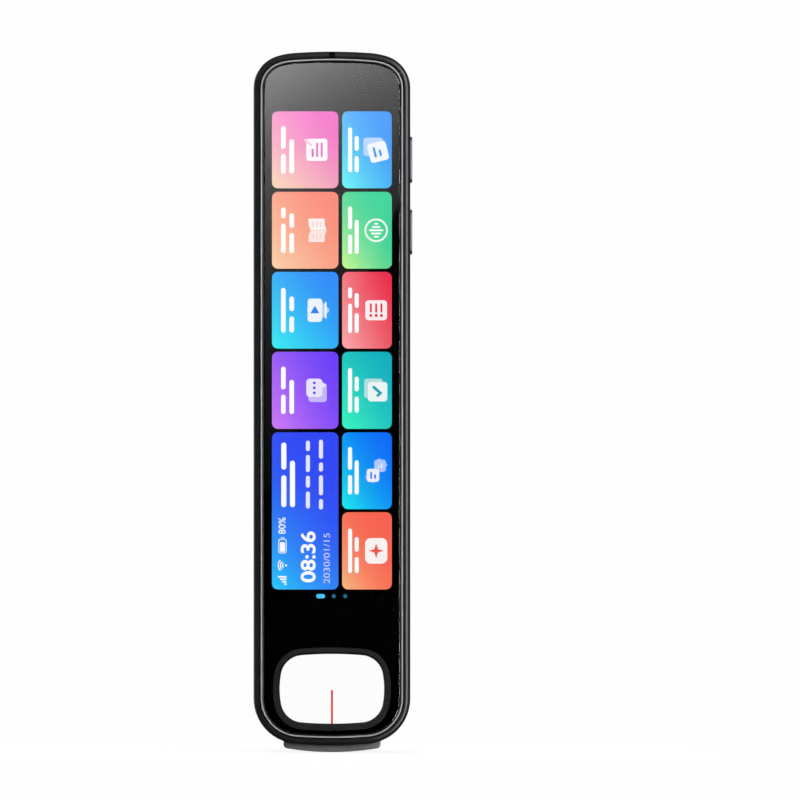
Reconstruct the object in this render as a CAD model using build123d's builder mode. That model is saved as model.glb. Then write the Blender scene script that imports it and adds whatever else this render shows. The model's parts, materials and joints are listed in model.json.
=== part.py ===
from build123d import *

import math
import os

# Handheld scanning translator: a slim pen-shaped body with a touch display on its front,
# a see-through scanning window above a sprung tip, two side keys and a camera on its back.
# Millimetres. +Z runs up the body, from the scanning tip to the charging port. The display
# faces -Y and the keys are on +X. The origin is the centre of the casing.

# ---- driving dimensions -------------------------------------------------------------------

# casing
body_width = 33.0
body_length = 146.0
body_depth = 12.6
wall = 1.2
rear_crown_sag = 1.72
rear_edge_radius = 5.4
front_edge_radius = 1.0
top_crown_radius = 110.0
top_shoulder_radius = 15.5
top_corner_radius = 7.0
top_shoulder_angle = 17.5
bottom_crown_radius = 100.0
bottom_shoulder_radius = 12.5
bottom_corner_radius = 9.5
bottom_shoulder_angle = 10.0

# front frame and what it holds
trim_inset = 1.3
trim_width = 0.6
trim_depth = 0.85
trim_bevel = 0.4
glass_inset = 2.1
glass_thickness = 0.7
glass_edge_radius = 0.25
adhesive_thickness = 0.15
adhesive_margin = 0.1
ledge_inset = 2.9
split_step = 0.45
mic_notch_width = 1.25
mic_notch_depth = 0.7
mic_port_radius = 0.4
mic_port_depth = 1.55

# display
display_thickness = 1.7
display_length = 110.0
display_top_drop = 9.0
display_flex_width = 9.0
display_flex_thickness = 0.12
display_flex_start = 0.8
display_flex_bend = 2.6
display_connector_length = 2.5
display_connector_gap = 0.3
display_flex_past = 0.1
display_connector_margin = 0.5
flex_slot_length = 5.2
flex_slot_drop = 13.0
flex_slot_margin = 1.0

# chassis
chassis_thickness = 1.0
clip_arm_length = 5.0
clip_arm_thickness = 0.5
clip_arm_depth = 1.0
clip_bump = 0.3
clip_bump_height = 0.4
clip_heights = (-38.0, -12.0, 14.0)

# main board
board_standoff = 2.6
board_thickness = 0.8
board_side_gaps = (1.9, 0.23)
board_top_drop = 9.0
board_length = 43.0
board_corner_radius = 1.2
board_tongue_width = 13.0
board_tongue_length = 6.6
board_tongue_overlap = 1.0
board_screw_radius = 0.58
board_screw_head_radius = 1.1
board_screw_head = 0.5
board_screw_length = 2.6
board_screw_socket = (0.4, 0.25)
board_screw_inset = 1.85
board_screw_drop = 2.8
board_screw_rise = 12.0
board_boss_radius = 1.5
board_hole_clearance = 0.07
can_size = (16.0, 13.0)
can_height = 1.6
can_sheet = 0.2
can_corner_radius = 0.5
can_offset = (-1.6, -38.0)
chip_margin = 0.8
processor_size = 9.0
memory_size = (4.6, 8.0)
chip_height = 0.9
connector_height = 1.0
lead_connector_size = (5.0, 1.2, 2.6)
lead_connector_rise = 1.0
lead_inset = 3.4
lead_lift = 0.4
scan_connector_left = 1.2
scan_connector_rise = 2.2

# charging port, the standard 24-pin reversible receptacle
port_width = 8.94
port_height = 3.26
port_corner_radius = 1.3
port_sheet = 0.32
port_length = 7.0
port_mouth_drop = 1.4
port_clearance = 0.17
port_tongue_width = 6.6
port_tongue_height = 0.7
port_tongue_length = 5.4
port_tongue_edge_radius = 0.2
port_base = 0.8

# battery
battery_width = 22.4
battery_length = 56.0
battery_thickness = 5.6
battery_edge_radius = 1.2
battery_right = 8.8
battery_gap = 3.0
tape_thickness = 0.1
tape_margin = 3.0
pad_size = (9.0, 40.0)
pad_clearance = 0.147
lead_width = 3.0
lead_thickness = 0.4
antenna_thickness = 0.15
antenna_gaps = (0.4, 0.3)
antenna_drops = (45.0, 15.0)

# island on the back, with the loudspeaker and the camera
island_width = 15.84
island_length = 44.07
island_corner_radius = 4.1
island_top_drop = 6.95
island_proud = 0.8
island_gap = 0.2
island_cover_thickness = 1.0
island_edge_radius = 0.35
island_rise = 1.9
island_rise_angle = 52.0
island_rise_radius = 1.2
island_rise_margin = 0.5
speaker_hole_radius = 0.3
speaker_hole_pitch = 1.0
speaker_hole_count = 9
speaker_drop = 14.4
speaker_size = 11.2
speaker_opening = 9.4
speaker_opening_radius = 0.6
speaker_corner_radius = 1.0
speaker_edge_bevel = 0.2
speaker_cone_depth = 0.5
speaker_top_gap = 1.4
gasket_wall = 0.45
gasket_outer_radius = 0.4
gasket_inner_radius = 0.2
mesh_thickness = 0.1

# camera on the back
camera_window_width = 9.97
camera_window_length = 26.9
camera_window_corner_radius = 1.5
camera_window_drop = 34.65
camera_window_thickness = 0.85
camera_trim_width = 0.38
camera_trim_thickness = 0.92
lens_drop = 25.92
lens_ring_radius = 3.0
lens_ring_bore_radius = 2.4
lens_ring_seat_radius = 2.1
lens_ring_height = 1.15
lens_ring_bevel = 0.18
lens_ring_edge_radius = 0.12
lens_cover_thickness = 0.3
lens_cover_rise = 0.6
camera_base_size = 8.4
camera_base_height = 2.75
camera_base_corner_radius = 0.5
camera_barrel_gap = 0.2
camera_opening_gap = 0.3
camera_barrel_radius = 2.5
camera_front_lens_radius = 1.9
camera_front_lens_rise = 0.5
camera_front_lens_depth = 0.5

# side keys
key_width = 2.4
key_proud = 0.42
key_bevel = 0.3
key_flange_thickness = 0.6
key_flange_margin = 0.5
key_flange_side_margin = 0.2
key_post = 0.4
key_post_size = 2.0
key_travel = 0.3
power_key_length = 9.75
power_key_drop = 22.7
function_key_length = 9.5
function_key_drop = 37.95
switch_size = (2.6, 4.2)
switch_thickness = 1.9
switch_plunger_radius = 0.6
switch_plunger_out = 1.0
switch_plunger_in = 0.7
switch_bore_spare = 0.2
key_flex_thickness = 0.12
key_bracket_thickness = 0.35
key_bracket_margin = 0.9
key_bracket_past_flex = (0.3, 0.5)
key_bracket_foot = (3.0, 6.0)
side_mic_drop = 30.4
side_mic_hole_radius = 0.42
side_mic_size = (2.0, 2.6)
side_mic_thickness = 1.2
mic_boot_radius = 1.2
top_mic_size = (2.8, 1.9)
top_mic_thickness = 1.2
top_mic_gap = 0.3

# scanning window
window_half_width = 11.0
window_half_height = 7.35
window_crown_radius = 75.0
window_side_radius = 18.0
window_corner_radius = 4.75
front_window_rise = 11.85
rear_window_rise = 11.55
rear_ring_shift = 0.2
front_ring_width = 1.35
front_ring_recess = 0.05
front_ring_bevel = 0.45
pane_thickness = 1.0
pane_lap = 1.3
rear_window_grow = 0.33
tunnel_wall = 0.63
tunnel_flange = 0.45
tunnel_recess = 0.25
rear_ring_width = 0.75
rear_ring_recess = 0.12
rear_ring_depth = 2.4
aiming_mark_width = 0.42
aiming_mark_depth = 0.2
aiming_mark_run = 0.4

# scanning camera above the window
scan_board_width = 24.0
scan_board_depth = 6.15
scan_board_thickness = 0.55
scan_board_rise = 1.55
scan_shelf = (3.0, 1.25, 0.9)
scan_shelf_reach = 8.5
scan_centre_depth = 1.2
scan_body_size = (6.4, 4.8, 3.15)
scan_barrel_radius = 1.9
scan_barrel_proud = 0.1
scan_hole_gap = 0.2
scan_lens_radius = 1.3
scan_lens_thickness = 0.45
scan_lens_edge_radius = 0.2
light_reach = 6.2
light_size = (2.6, 1.4, 0.7)
light_slot = (3.0, 1.6)
scan_flex_width = 1.8
scan_flex_left = 9.1
scan_flex_thickness = 0.12
flex_on_board = 5.0

# sprung scanning tip
tip_half_width = 10.25
tip_proud = 1.56
tip_sag = 0.9
tip_corner_radius = 0.9
tip_edge_radius = 0.4
tip_depth = 6.0
tip_travel = 0.8
tip_slot_height = 3.5
tip_root_height = 4.0
yoke_thickness = 0.7
yoke_width = 2.6
yoke_past_round = 0.5
yoke_rise = 25.3
yoke_tab_thickness = 0.8
yoke_tab_reach = 10.6
tip_switch_size = (3.6, 3.1)
tip_switch_past_yoke = 0.4
tip_switch_inner = 10.8
tip_switch_gap = 0.2
tip_bore_spare = 0.5
tip_plunger_radius = 0.7
tip_plunger_in = 0.7
spring_radius = 0.95
spring_wire_radius = 0.15
spring_length = 3.0
spring_turns = 5
spring_reach = 12.7
spring_lug = (3.0, 1.2)

# screws that close the casing, under the island
case_screw_radius = 0.68
case_screw_head_radius = 1.2
case_screw_head = 0.6
case_screw_length = 4.9
case_screw_socket = (0.5, 0.3)
case_screw_sink = 0.05
case_post_radius = 1.5
case_post_drop = 0.5
shell_boss_margin = 0.3
case_screw_places = ((6.2, 23.0), (4.5, 46.8))

# clearances
running_clearance = 0.15
bore_clearance = 0.05
fit_clearance = 0.05
screw_clearance = 0.02
screw_hole_spare = 0.2
screw_pass_clearance = 0.12
screw_head_clearance = 0.1
key_clearance = 0.1
clip_clearance = 0.1
clip_end_clearance = 0.2
ring_clearance = 0.03
lens_clearance = 0.02
cut_over = 1.0

# ---- levels worked out from them -----------------------------------------------------------

half_width = body_width / 2
top_z = body_length / 2
bottom_z = -body_length / 2
front_y = -body_depth / 2
rear_y = body_depth / 2

glass_back = front_y + glass_thickness
display_front = glass_back + adhesive_thickness
chassis_front = display_front + display_thickness
chassis_back = chassis_front + chassis_thickness
split_y = chassis_front + split_step
board_front = chassis_back + board_standoff
board_back = board_front + board_thickness

board_top = top_z - board_top_drop
board_bottom = board_top - board_length
island_z = top_z - island_top_drop - island_length / 2
island_top = rear_y + island_proud
island_floor = island_top - island_cover_thickness
lens_z = top_z - lens_drop
camera_window_z = top_z - camera_window_drop
speaker_z = top_z - speaker_drop
post_top = rear_y - wall - case_post_drop
display_z = top_z - display_top_drop - display_length / 2
display_width = body_width - 2 * ledge_inset - 2 * adhesive_margin
port_y = board_back + port_height / 2

inner_half_width = half_width - wall
rear_crown_radius = (half_width**2 + rear_crown_sag**2) / (2 * rear_crown_sag)
edge_round_y = rear_y - rear_crown_radius + math.sqrt(
    (rear_crown_radius - rear_edge_radius) ** 2 - (half_width - rear_edge_radius) ** 2
)
key_depth_centre = edge_round_y - key_width / 2
yoke_back = edge_round_y + yoke_past_round
yoke_front = yoke_back - yoke_width
tip_front = chassis_back + running_clearance
tip_back = tip_front + tip_depth
chassis_inset = wall + key_clearance
front_window_z = bottom_z + front_window_rise
rear_window_z = bottom_z + rear_window_rise
case_screw_seat = island_floor - case_screw_head - case_screw_sink
case_screw_spots = [(side * x, top_z - drop) for x, drop in case_screw_places for side in (1, -1)]
key_places = ((power_key_drop, power_key_length), (function_key_drop, function_key_length))
tunnel_grow = rear_window_grow + tunnel_wall
pane_front = chassis_front - pane_thickness
tunnel_top = rear_window_z + window_half_height + tunnel_grow

key_flange_out = inner_half_width - key_clearance
key_flange_in = key_flange_out - key_flange_thickness
key_post_in = key_flange_in - key_post
switch_face = key_post_in - switch_plunger_out
switch_back = switch_face - switch_thickness
key_flex_back = switch_back - key_flex_thickness
board_left = board_side_gaps[0] - inner_half_width
board_right = key_flex_back - key_bracket_thickness - board_side_gaps[1]

board_screw_places = (
    (board_left + board_screw_inset, board_top - board_screw_drop),
    (board_left + board_screw_inset, board_bottom + board_screw_rise),
    (board_right - board_screw_inset, board_top - board_screw_drop),
    (board_right - board_screw_inset, board_bottom + board_screw_rise),
)


# ---- shared outlines and shapes ------------------------------------------------------------


def span(centre, size):
    """Low and high end of a size about its centre."""
    return centre - size / 2, centre + size / 2


def side_span(side, inner, outer):
    """Low and high end of a stretch out from the middle, on the left (-1) or the right (1)."""
    return sorted((side * inner, side * outer))


def at_depth(y):
    """Sketch plane facing the front, at one depth in the body."""
    return Plane.XZ.offset(-y)


def end_outline(inset, upper):
    """Points and radii of one end: crown middle, crown end, shoulder end, corner end."""
    if upper:
        crown, shoulder, corner = top_crown_radius, top_shoulder_radius, top_corner_radius
        angle = math.radians(top_shoulder_angle)
    else:
        crown, shoulder, corner = bottom_crown_radius, bottom_shoulder_radius, bottom_corner_radius
        angle = math.radians(bottom_shoulder_angle)
    side = 1 if upper else -1
    corner_x = half_width - corner
    shoulder_x = corner_x - (shoulder - corner) * math.sin(angle)
    lean = math.asin(shoulder_x / (crown - shoulder))
    shoulder_z = body_length / 2 - crown + (crown - shoulder) * math.cos(lean)
    corner_z = shoulder_z + (shoulder - corner) * math.cos(angle)
    crown, shoulder, corner = crown - inset, shoulder - inset, corner - inset
    points = (
        (0, side * (body_length / 2 - inset)),
        (shoulder_x + shoulder * math.sin(lean), side * (shoulder_z + shoulder * math.cos(lean))),
        (corner_x + corner * math.sin(angle), side * (corner_z + corner * math.cos(angle))),
        (half_width - inset, side * corner_z),
    )
    return points, side * shoulder, side * corner


def casing_profile(inset=0.0):
    """Face-on outline of the casing, drawn in by an inset all round."""
    with BuildSketch() as profile:
        with BuildLine():
            for upper in (True, False):
                (middle, crown_end, shoulder_end, corner_end), shoulder, corner = end_outline(inset, upper)
                ThreePointArc((-crown_end[0], crown_end[1]), middle, crown_end)
                for flip in (1, -1):
                    ends = [(flip * x, z) for x, z in (crown_end, shoulder_end, corner_end)]
                    RadiusArc(ends[0], ends[1], flip * shoulder)
                    RadiusArc(ends[1], ends[2], flip * corner)
            upper_end = end_outline(inset, True)[0][3]
            lower_end = end_outline(inset, False)[0][3]
            Line(upper_end, lower_end)
            Line((-upper_end[0], upper_end[1]), (-lower_end[0], lower_end[1]))
        make_face()
    return profile.sketch


def window_profile(grow, centre_z):
    """Outline of the scanning window: bowed sides and round corners, grown all round."""
    corner_x = window_half_width - window_corner_radius
    corner_z = window_half_height - window_corner_radius
    for _ in range(12):
        corner_z = window_half_height - window_crown_radius + math.sqrt(
            (window_crown_radius - window_corner_radius) ** 2 - corner_x**2
        )
        corner_x = window_half_width - window_side_radius + math.sqrt(
            (window_side_radius - window_corner_radius) ** 2 - corner_z**2
        )
    corner = window_corner_radius + grow
    crown_lean = math.asin(corner_x / (window_crown_radius - window_corner_radius))
    side_lean = math.asin(corner_z / (window_side_radius - window_corner_radius))
    crown_end = (corner_x + corner * math.sin(crown_lean), corner_z + corner * math.cos(crown_lean))
    side_end = (corner_x + corner * math.cos(side_lean), corner_z + corner * math.sin(side_lean))
    width, height = window_half_width + grow, window_half_height + grow
    with BuildSketch() as profile:
        with BuildLine():
            for flip in (1, -1):
                ThreePointArc(
                    (-crown_end[0], flip * crown_end[1] + centre_z),
                    (0, flip * height + centre_z),
                    (crown_end[0], flip * crown_end[1] + centre_z),
                )
                ThreePointArc(
                    (flip * side_end[0], side_end[1] + centre_z),
                    (flip * width, centre_z),
                    (flip * side_end[0], -side_end[1] + centre_z),
                )
                for side in (1, -1):
                    RadiusArc(
                        (side * crown_end[0], flip * crown_end[1] + centre_z),
                        (side * side_end[0], flip * side_end[1] + centre_z),
                        side * flip * corner,
                    )
        make_face()
    return profile.sketch


def rounded_profile(width, length, radius, centre_z):
    """Rounded rectangle, face-on, centred across the body."""
    with BuildSketch() as profile:
        with Locations((0, centre_z)):
            RectangleRounded(width, length, radius)
    return profile.sketch


def slab(profile, front, back, mode=Mode.ADD, taper=0.0):
    """Face-on profile carried from one depth to another, in the part being built."""
    with BuildSketch(at_depth(back), mode=Mode.PRIVATE) as face_on:
        add(profile)
    extrude(face_on.sketch, amount=back - front, taper=taper, mode=mode)


def block(across, deep, up, mode=Mode.ADD):
    """Block between two faces each way, in the part being built."""
    spans = (across, deep, up)
    with Locations(tuple((low + high) / 2 for low, high in spans)):
        Box(*(high - low for low, high in spans), mode=mode)


def post(x, z, radius, front, back, mode=Mode.ADD):
    """Cylinder from front to back."""
    with Locations(Location((x, (front + back) / 2, z), (90, 0, 0))):
        Cylinder(radius, back - front, mode=mode)


def cross_pin(y, z, radius, left, right, mode=Mode.ADD):
    """Cylinder across the body."""
    with Locations(Location(((left + right) / 2, y, z), (0, 90, 0))):
        Cylinder(radius, right - left, mode=mode)


def upright_pin(x, y, radius, low, high, mode=Mode.ADD):
    """Cylinder along the body."""
    with Locations((x, y, (low + high) / 2)):
        Cylinder(radius, high - low, mode=mode)


def casing_form(inset, front):
    """Closed form of the casing, drawn in by an inset: crowned back and round rear edge."""
    with BuildPart() as form:
        slab(casing_profile(inset), front, rear_y - inset)
        with BuildSketch(Plane.XY.offset(bottom_z)):
            with Locations((0, rear_y - rear_crown_radius)):
                Circle(rear_crown_radius - inset)
        extrude(amount=body_length, mode=Mode.INTERSECT)
        back_face = form.faces().sort_by(Axis.Y)[-1]
        fillet(back_face.edges(), rear_edge_radius - inset)
    return form.part


def key_slot(drop, length, grow):
    """Stadium outline of a side key, seen from the side, grown all round."""
    with BuildSketch(Plane.YZ.offset(inner_half_width - key_clearance)) as outline:
        with Locations((key_depth_centre, top_z - drop)):
            SlotOverall(length + 2 * grow, key_width + 2 * grow, rotation=90)
    return outline.sketch


# ---- front assembly ------------------------------------------------------------------------

with BuildPart() as front_bezel:
    slab(casing_profile(), front_y, split_y)
    outer_edge = front_bezel.faces().sort_by(Axis.Y)[0].edges()
    fillet(outer_edge, front_edge_radius)
    slab(casing_profile(trim_inset), front_y, glass_back + adhesive_thickness, mode=Mode.SUBTRACT)
    slab(casing_profile(ledge_inset), front_y, split_y, mode=Mode.SUBTRACT)
    slab(casing_profile(wall), chassis_front, split_y, mode=Mode.SUBTRACT)
    block(
        span(0, mic_notch_width),
        (front_y, front_y + mic_notch_depth),
        (top_z - trim_inset - cut_over, top_z + cut_over),
        mode=Mode.SUBTRACT,
    )
    upright_pin(
        0, front_y + mic_port_depth, mic_port_radius,
        top_z - ledge_inset - cut_over, top_z + cut_over, mode=Mode.SUBTRACT,
    )

with BuildPart() as display_trim:
    slab(casing_profile(trim_inset), front_y, front_y + trim_depth)
    slab(casing_profile(trim_inset + trim_width), front_y, front_y + trim_depth, mode=Mode.SUBTRACT)
    front_face = display_trim.faces().sort_by(Axis.Y)[0]
    chamfer(front_face.inner_wires()[0].edges(), trim_bevel)

with BuildPart() as cover_glass:
    slab(casing_profile(glass_inset), front_y, glass_back)
    fillet(cover_glass.faces().sort_by(Axis.Y)[0].edges(), glass_edge_radius)
    slab(
        window_profile(front_ring_width + fit_clearance, front_window_z),
        front_y, glass_back, mode=Mode.SUBTRACT,
    )

with BuildPart() as frame_adhesive:
    slab(casing_profile(glass_inset + adhesive_margin), glass_back, display_front)
    slab(casing_profile(ledge_inset), glass_back, display_front, mode=Mode.SUBTRACT)

with BuildPart() as optical_adhesive:
    block(span(0, display_width), (glass_back, display_front), span(display_z, display_length))

with BuildPart() as display_module:
    block(span(0, display_width), (display_front, chassis_front), span(display_z, display_length))

flex_slot_top = top_z - flex_slot_drop
flex_slot_bottom = flex_slot_top - flex_slot_length
display_connector_top = flex_slot_bottom - display_connector_gap
display_connector_bottom = display_connector_top - display_connector_length
flex_seat_y = board_front - connector_height - display_flex_thickness

with BuildPart() as display_flex:
    with BuildSketch(Plane.YZ.offset(-display_flex_width / 2)):
        with BuildLine() as flex_path:
            Polyline(
                (chassis_front, flex_slot_top - display_flex_start),
                (chassis_front, flex_slot_top - display_flex_bend),
                (flex_seat_y, display_connector_top + display_flex_past),
                (flex_seat_y, display_connector_bottom),
            )
            offset(flex_path.line, amount=display_flex_thickness, side=Side.LEFT)
        make_face()
    extrude(amount=display_flex_width)

# ---- chassis and casing --------------------------------------------------------------------

chassis_side = half_width - chassis_inset
clip_top = chassis_back + clip_arm_depth
lug_top = bottom_z + yoke_rise + spring_length + spring_lug[1]
scan_board_low = tunnel_top + scan_board_rise

with BuildPart() as inner_chassis:
    slab(casing_profile(chassis_inset), chassis_front, chassis_back)
    slab(
        window_profile(tunnel_grow + fit_clearance, rear_window_z),
        chassis_front, chassis_back, mode=Mode.SUBTRACT,
    )
    block(
        span(0, display_flex_width + 2 * flex_slot_margin),
        (chassis_front, chassis_back),
        (flex_slot_bottom, flex_slot_top),
        mode=Mode.SUBTRACT,
    )
    for x, z in board_screw_places:
        post(x, z, board_boss_radius, chassis_back, board_front)
        post(
            x, z, board_screw_radius + screw_clearance,
            board_back - board_screw_length - screw_hole_spare, board_front, mode=Mode.SUBTRACT,
        )
    for x, z in case_screw_spots:
        post(x, z, case_post_radius, chassis_back, post_top)
        post(
            x, z, case_screw_radius + screw_clearance,
            post_top - case_screw_length, post_top, mode=Mode.SUBTRACT,
        )
    for z in clip_heights:
        for side in (1, -1):
            arm = side_span(side, chassis_side - clip_arm_thickness, chassis_side)
            bump = side_span(side, chassis_side, chassis_side + clip_bump)
            block(arm, (chassis_back, clip_top), span(z, clip_arm_length))
            block(bump, (clip_top - clip_bump_height, clip_top), span(z, clip_arm_length))
    block(
        span(spring_reach, spring_lug[0]), (chassis_back, yoke_back), (lug_top - spring_lug[1], lug_top),
    )
    for side in (1, -1):
        block(
            side_span(side, scan_shelf_reach, scan_shelf_reach + scan_shelf[0]),
            (chassis_back, chassis_back + scan_shelf[1]),
            (scan_board_low - scan_shelf[2], scan_board_low),
        )

island_outline = rounded_profile(island_width, island_length, island_corner_radius, island_z)

with BuildPart() as rear_shell:
    add(casing_form(0.0, split_y))
    with BuildPart(mode=Mode.PRIVATE) as rise:
        slab(
            rounded_profile(
                island_width + 2 * (island_gap + island_rise_margin),
                island_length + 2 * (island_gap + island_rise_margin),
                island_corner_radius + island_gap + island_rise_margin, island_z,
            ),
            island_top - island_rise, island_top, taper=-island_rise_angle,
        )
        fillet(rise.faces().sort_by(Axis.Y)[-1].edges(), island_rise_radius)
    add(rise.part)
    add(casing_form(wall, split_y - cut_over), mode=Mode.SUBTRACT)
    for x, z in case_screw_spots:
        post(x, z, case_post_radius + shell_boss_margin, post_top, island_floor)
    slab(
        rounded_profile(
            island_width + 2 * island_gap, island_length + 2 * island_gap,
            island_corner_radius + island_gap, island_z,
        ),
        island_floor, island_top, mode=Mode.SUBTRACT,
    )
    slab(
        rounded_profile(speaker_opening, speaker_opening, speaker_opening_radius, speaker_z),
        post_top, island_floor, mode=Mode.SUBTRACT,
    )
    post(
        0, lens_z, camera_barrel_radius + camera_opening_gap,
        post_top - cut_over, island_floor, mode=Mode.SUBTRACT,
    )
    for x, z in case_screw_spots:
        post(
            x, z, case_screw_radius + screw_pass_clearance, post_top, island_floor, mode=Mode.SUBTRACT,
        )
        post(
            x, z, case_screw_head_radius + screw_head_clearance,
            case_screw_seat, island_floor, mode=Mode.SUBTRACT,
        )
    slab(
        window_profile(tunnel_grow + rear_ring_width + ring_clearance, rear_window_z - rear_ring_shift),
        0, rear_y, mode=Mode.SUBTRACT,
    )
    with BuildSketch(Plane.XY.offset(top_z - port_mouth_drop - port_length)):
        with Locations((0, port_y)):
            RectangleRounded(
                port_width + 2 * port_clearance, port_height + 2 * port_clearance,
                port_corner_radius + port_clearance,
            )
    extrude(amount=port_length + port_mouth_drop + cut_over, mode=Mode.SUBTRACT)
    for drop, length in key_places:
        slot = key_slot(drop, length, key_clearance)
        extrude(slot, amount=wall + key_clearance + cut_over, mode=Mode.SUBTRACT)
    cross_pin(
        key_depth_centre, top_z - side_mic_drop, side_mic_hole_radius,
        inner_half_width - key_clearance, half_width + cut_over, mode=Mode.SUBTRACT,
    )
    block(
        span(0, 2 * tip_half_width + 2 * running_clearance),
        (tip_front - running_clearance, tip_back + running_clearance),
        (bottom_z - cut_over, bottom_z + tip_slot_height),
        mode=Mode.SUBTRACT,
    )
    for z in clip_heights:
        for side in (1, -1):
            block(
                side_span(side, chassis_side, chassis_side + clip_bump + clip_clearance),
                (clip_top - clip_bump_height - clip_clearance, clip_top + clip_clearance),
                span(z, clip_arm_length + 2 * clip_end_clearance),
                mode=Mode.SUBTRACT,
            )

# ---- island: cover, loudspeaker and camera -------------------------------------------------

with BuildPart() as island_cover:
    slab(island_outline, island_floor, island_top)
    fillet(island_cover.faces().sort_by(Axis.Y)[-1].edges(), island_edge_radius)
    slab(
        rounded_profile(
            camera_window_width + 2 * fit_clearance, camera_window_length + 2 * fit_clearance,
            camera_window_corner_radius + fit_clearance, camera_window_z,
        ),
        island_floor, island_top, mode=Mode.SUBTRACT,
    )
    with BuildSketch(at_depth(island_top)):
        with Locations((0, speaker_z)):
            with GridLocations(
                speaker_hole_pitch, speaker_hole_pitch, speaker_hole_count, speaker_hole_count,
            ):
                Circle(speaker_hole_radius)
    extrude(amount=island_cover_thickness, mode=Mode.SUBTRACT)

speaker_opening_inner = speaker_opening - 2 * running_clearance
gasket_opening = speaker_opening_inner - 2 * gasket_wall
speaker_top = island_floor - mesh_thickness - speaker_top_gap

with BuildPart() as speaker_mesh:
    slab(
        rounded_profile(
            speaker_opening_inner, speaker_opening_inner, gasket_outer_radius, speaker_z,
        ),
        island_floor - mesh_thickness, island_floor,
    )

with BuildPart() as speaker_gasket:
    slab(
        rounded_profile(
            speaker_opening_inner, speaker_opening_inner, gasket_outer_radius, speaker_z,
        ),
        speaker_top, island_floor - mesh_thickness,
    )
    slab(
        rounded_profile(gasket_opening, gasket_opening, gasket_inner_radius, speaker_z),
        speaker_top, island_floor - mesh_thickness, mode=Mode.SUBTRACT,
    )

with BuildPart() as speaker:
    slab(
        rounded_profile(speaker_size, speaker_size, speaker_corner_radius, speaker_z),
        board_back, speaker_top,
    )
    chamfer(speaker.faces().sort_by(Axis.Y)[-1].edges(), speaker_edge_bevel)
    post(
        0, speaker_z, gasket_opening / 2 - speaker_edge_bevel,
        speaker_top - speaker_cone_depth, speaker_top, mode=Mode.SUBTRACT,
    )

with BuildPart() as camera_window_trim:
    slab(
        rounded_profile(
            camera_window_width, camera_window_length, camera_window_corner_radius, camera_window_z,
        ),
        island_floor, island_floor + camera_trim_thickness,
    )
    slab(
        rounded_profile(
            camera_window_width - 2 * camera_trim_width, camera_window_length - 2 * camera_trim_width,
            camera_window_corner_radius - camera_trim_width, camera_window_z,
        ),
        island_floor, island_top, mode=Mode.SUBTRACT,
    )

with BuildPart() as camera_window:
    slab(
        rounded_profile(
            camera_window_width - 2 * camera_trim_width - 2 * fit_clearance,
            camera_window_length - 2 * camera_trim_width - 2 * fit_clearance,
            camera_window_corner_radius - camera_trim_width - fit_clearance, camera_window_z,
        ),
        island_floor, island_floor + camera_window_thickness,
    )
    post(0, lens_z, lens_ring_radius + fit_clearance, island_floor, island_top, mode=Mode.SUBTRACT)

with BuildPart() as lens_ring:
    post(0, lens_z, lens_ring_radius, island_floor, island_floor + lens_ring_height)
    post(0, lens_z, lens_ring_seat_radius, island_floor, island_top + cut_over, mode=Mode.SUBTRACT)
    post(
        0, lens_z, lens_ring_bore_radius,
        island_floor + lens_cover_rise, island_top + cut_over, mode=Mode.SUBTRACT,
    )
    top_rim = lens_ring.faces().sort_by(Axis.Y)[-1]
    chamfer(top_rim.inner_wires()[0].edges(), lens_ring_bevel)
    fillet(
        lens_ring.edges().group_by(Axis.Y)[-1].sort_by(SortBy.LENGTH)[-1], lens_ring_edge_radius,
    )

with BuildPart() as lens_cover:
    post(
        0, lens_z, lens_ring_bore_radius - ring_clearance,
        island_floor + lens_cover_rise, island_floor + lens_cover_rise + lens_cover_thickness,
    )

camera_base_top = board_back + camera_base_height
camera_barrel_top = island_floor - camera_barrel_gap
camera_lens_floor = camera_barrel_top - camera_front_lens_depth

with BuildPart() as rear_camera:
    slab(
        rounded_profile(camera_base_size, camera_base_size, camera_base_corner_radius, lens_z),
        board_back, camera_base_top,
    )
    post(0, lens_z, camera_barrel_radius, camera_base_top, camera_barrel_top)
    post(
        0, lens_z, camera_front_lens_radius, camera_lens_floor, camera_barrel_top, mode=Mode.SUBTRACT,
    )

with BuildPart() as camera_lens:
    dome_top = camera_barrel_top + camera_front_lens_rise
    half_chord = camera_front_lens_radius
    dome_radius = (half_chord**2 + camera_front_lens_rise**2) / (2 * camera_front_lens_rise)
    post(0, lens_z, camera_front_lens_radius - lens_clearance, camera_lens_floor, dome_top)
    with Locations((0, dome_top - dome_radius, lens_z)):
        Sphere(dome_radius, mode=Mode.INTERSECT)

# ---- main board and charging port ----------------------------------------------------------

with BuildPart() as main_board:
    with BuildSketch(at_depth(board_back)):
        with Locations(((board_left + board_right) / 2, (board_top + board_bottom) / 2)):
            RectangleRounded(board_right - board_left, board_length, board_corner_radius)
        with Locations((0, board_top + (board_tongue_length - board_tongue_overlap) / 2)):
            Rectangle(board_tongue_width, board_tongue_length + board_tongue_overlap)
        with Locations(*board_screw_places):
            Circle(board_screw_radius + board_hole_clearance, mode=Mode.SUBTRACT)
        with Locations(*case_screw_spots):
            Circle(case_post_radius + shell_boss_margin, mode=Mode.SUBTRACT)
    extrude(amount=board_thickness)

can_x, can_z = can_offset[0], top_z + can_offset[1]
chip_left, chip_right = span(can_x, can_size[0] - 2 * chip_margin)

with BuildPart() as shield_can:
    block(span(can_x, can_size[0]), (board_back, board_back + can_height), span(can_z, can_size[1]))
    fillet(shield_can.edges().filter_by(Axis.Y), can_corner_radius)
    board_side = shield_can.faces().sort_by(Axis.Y)[0]
    offset(amount=-can_sheet, openings=board_side)

with BuildPart() as processor:
    block(
        (chip_left, chip_left + processor_size),
        (board_back, board_back + chip_height),
        span(can_z, processor_size),
    )

with BuildPart() as memory_chip:
    block(
        (chip_right - memory_size[0], chip_right),
        (board_back, board_back + chip_height),
        span(can_z, memory_size[1]),
    )

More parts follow.
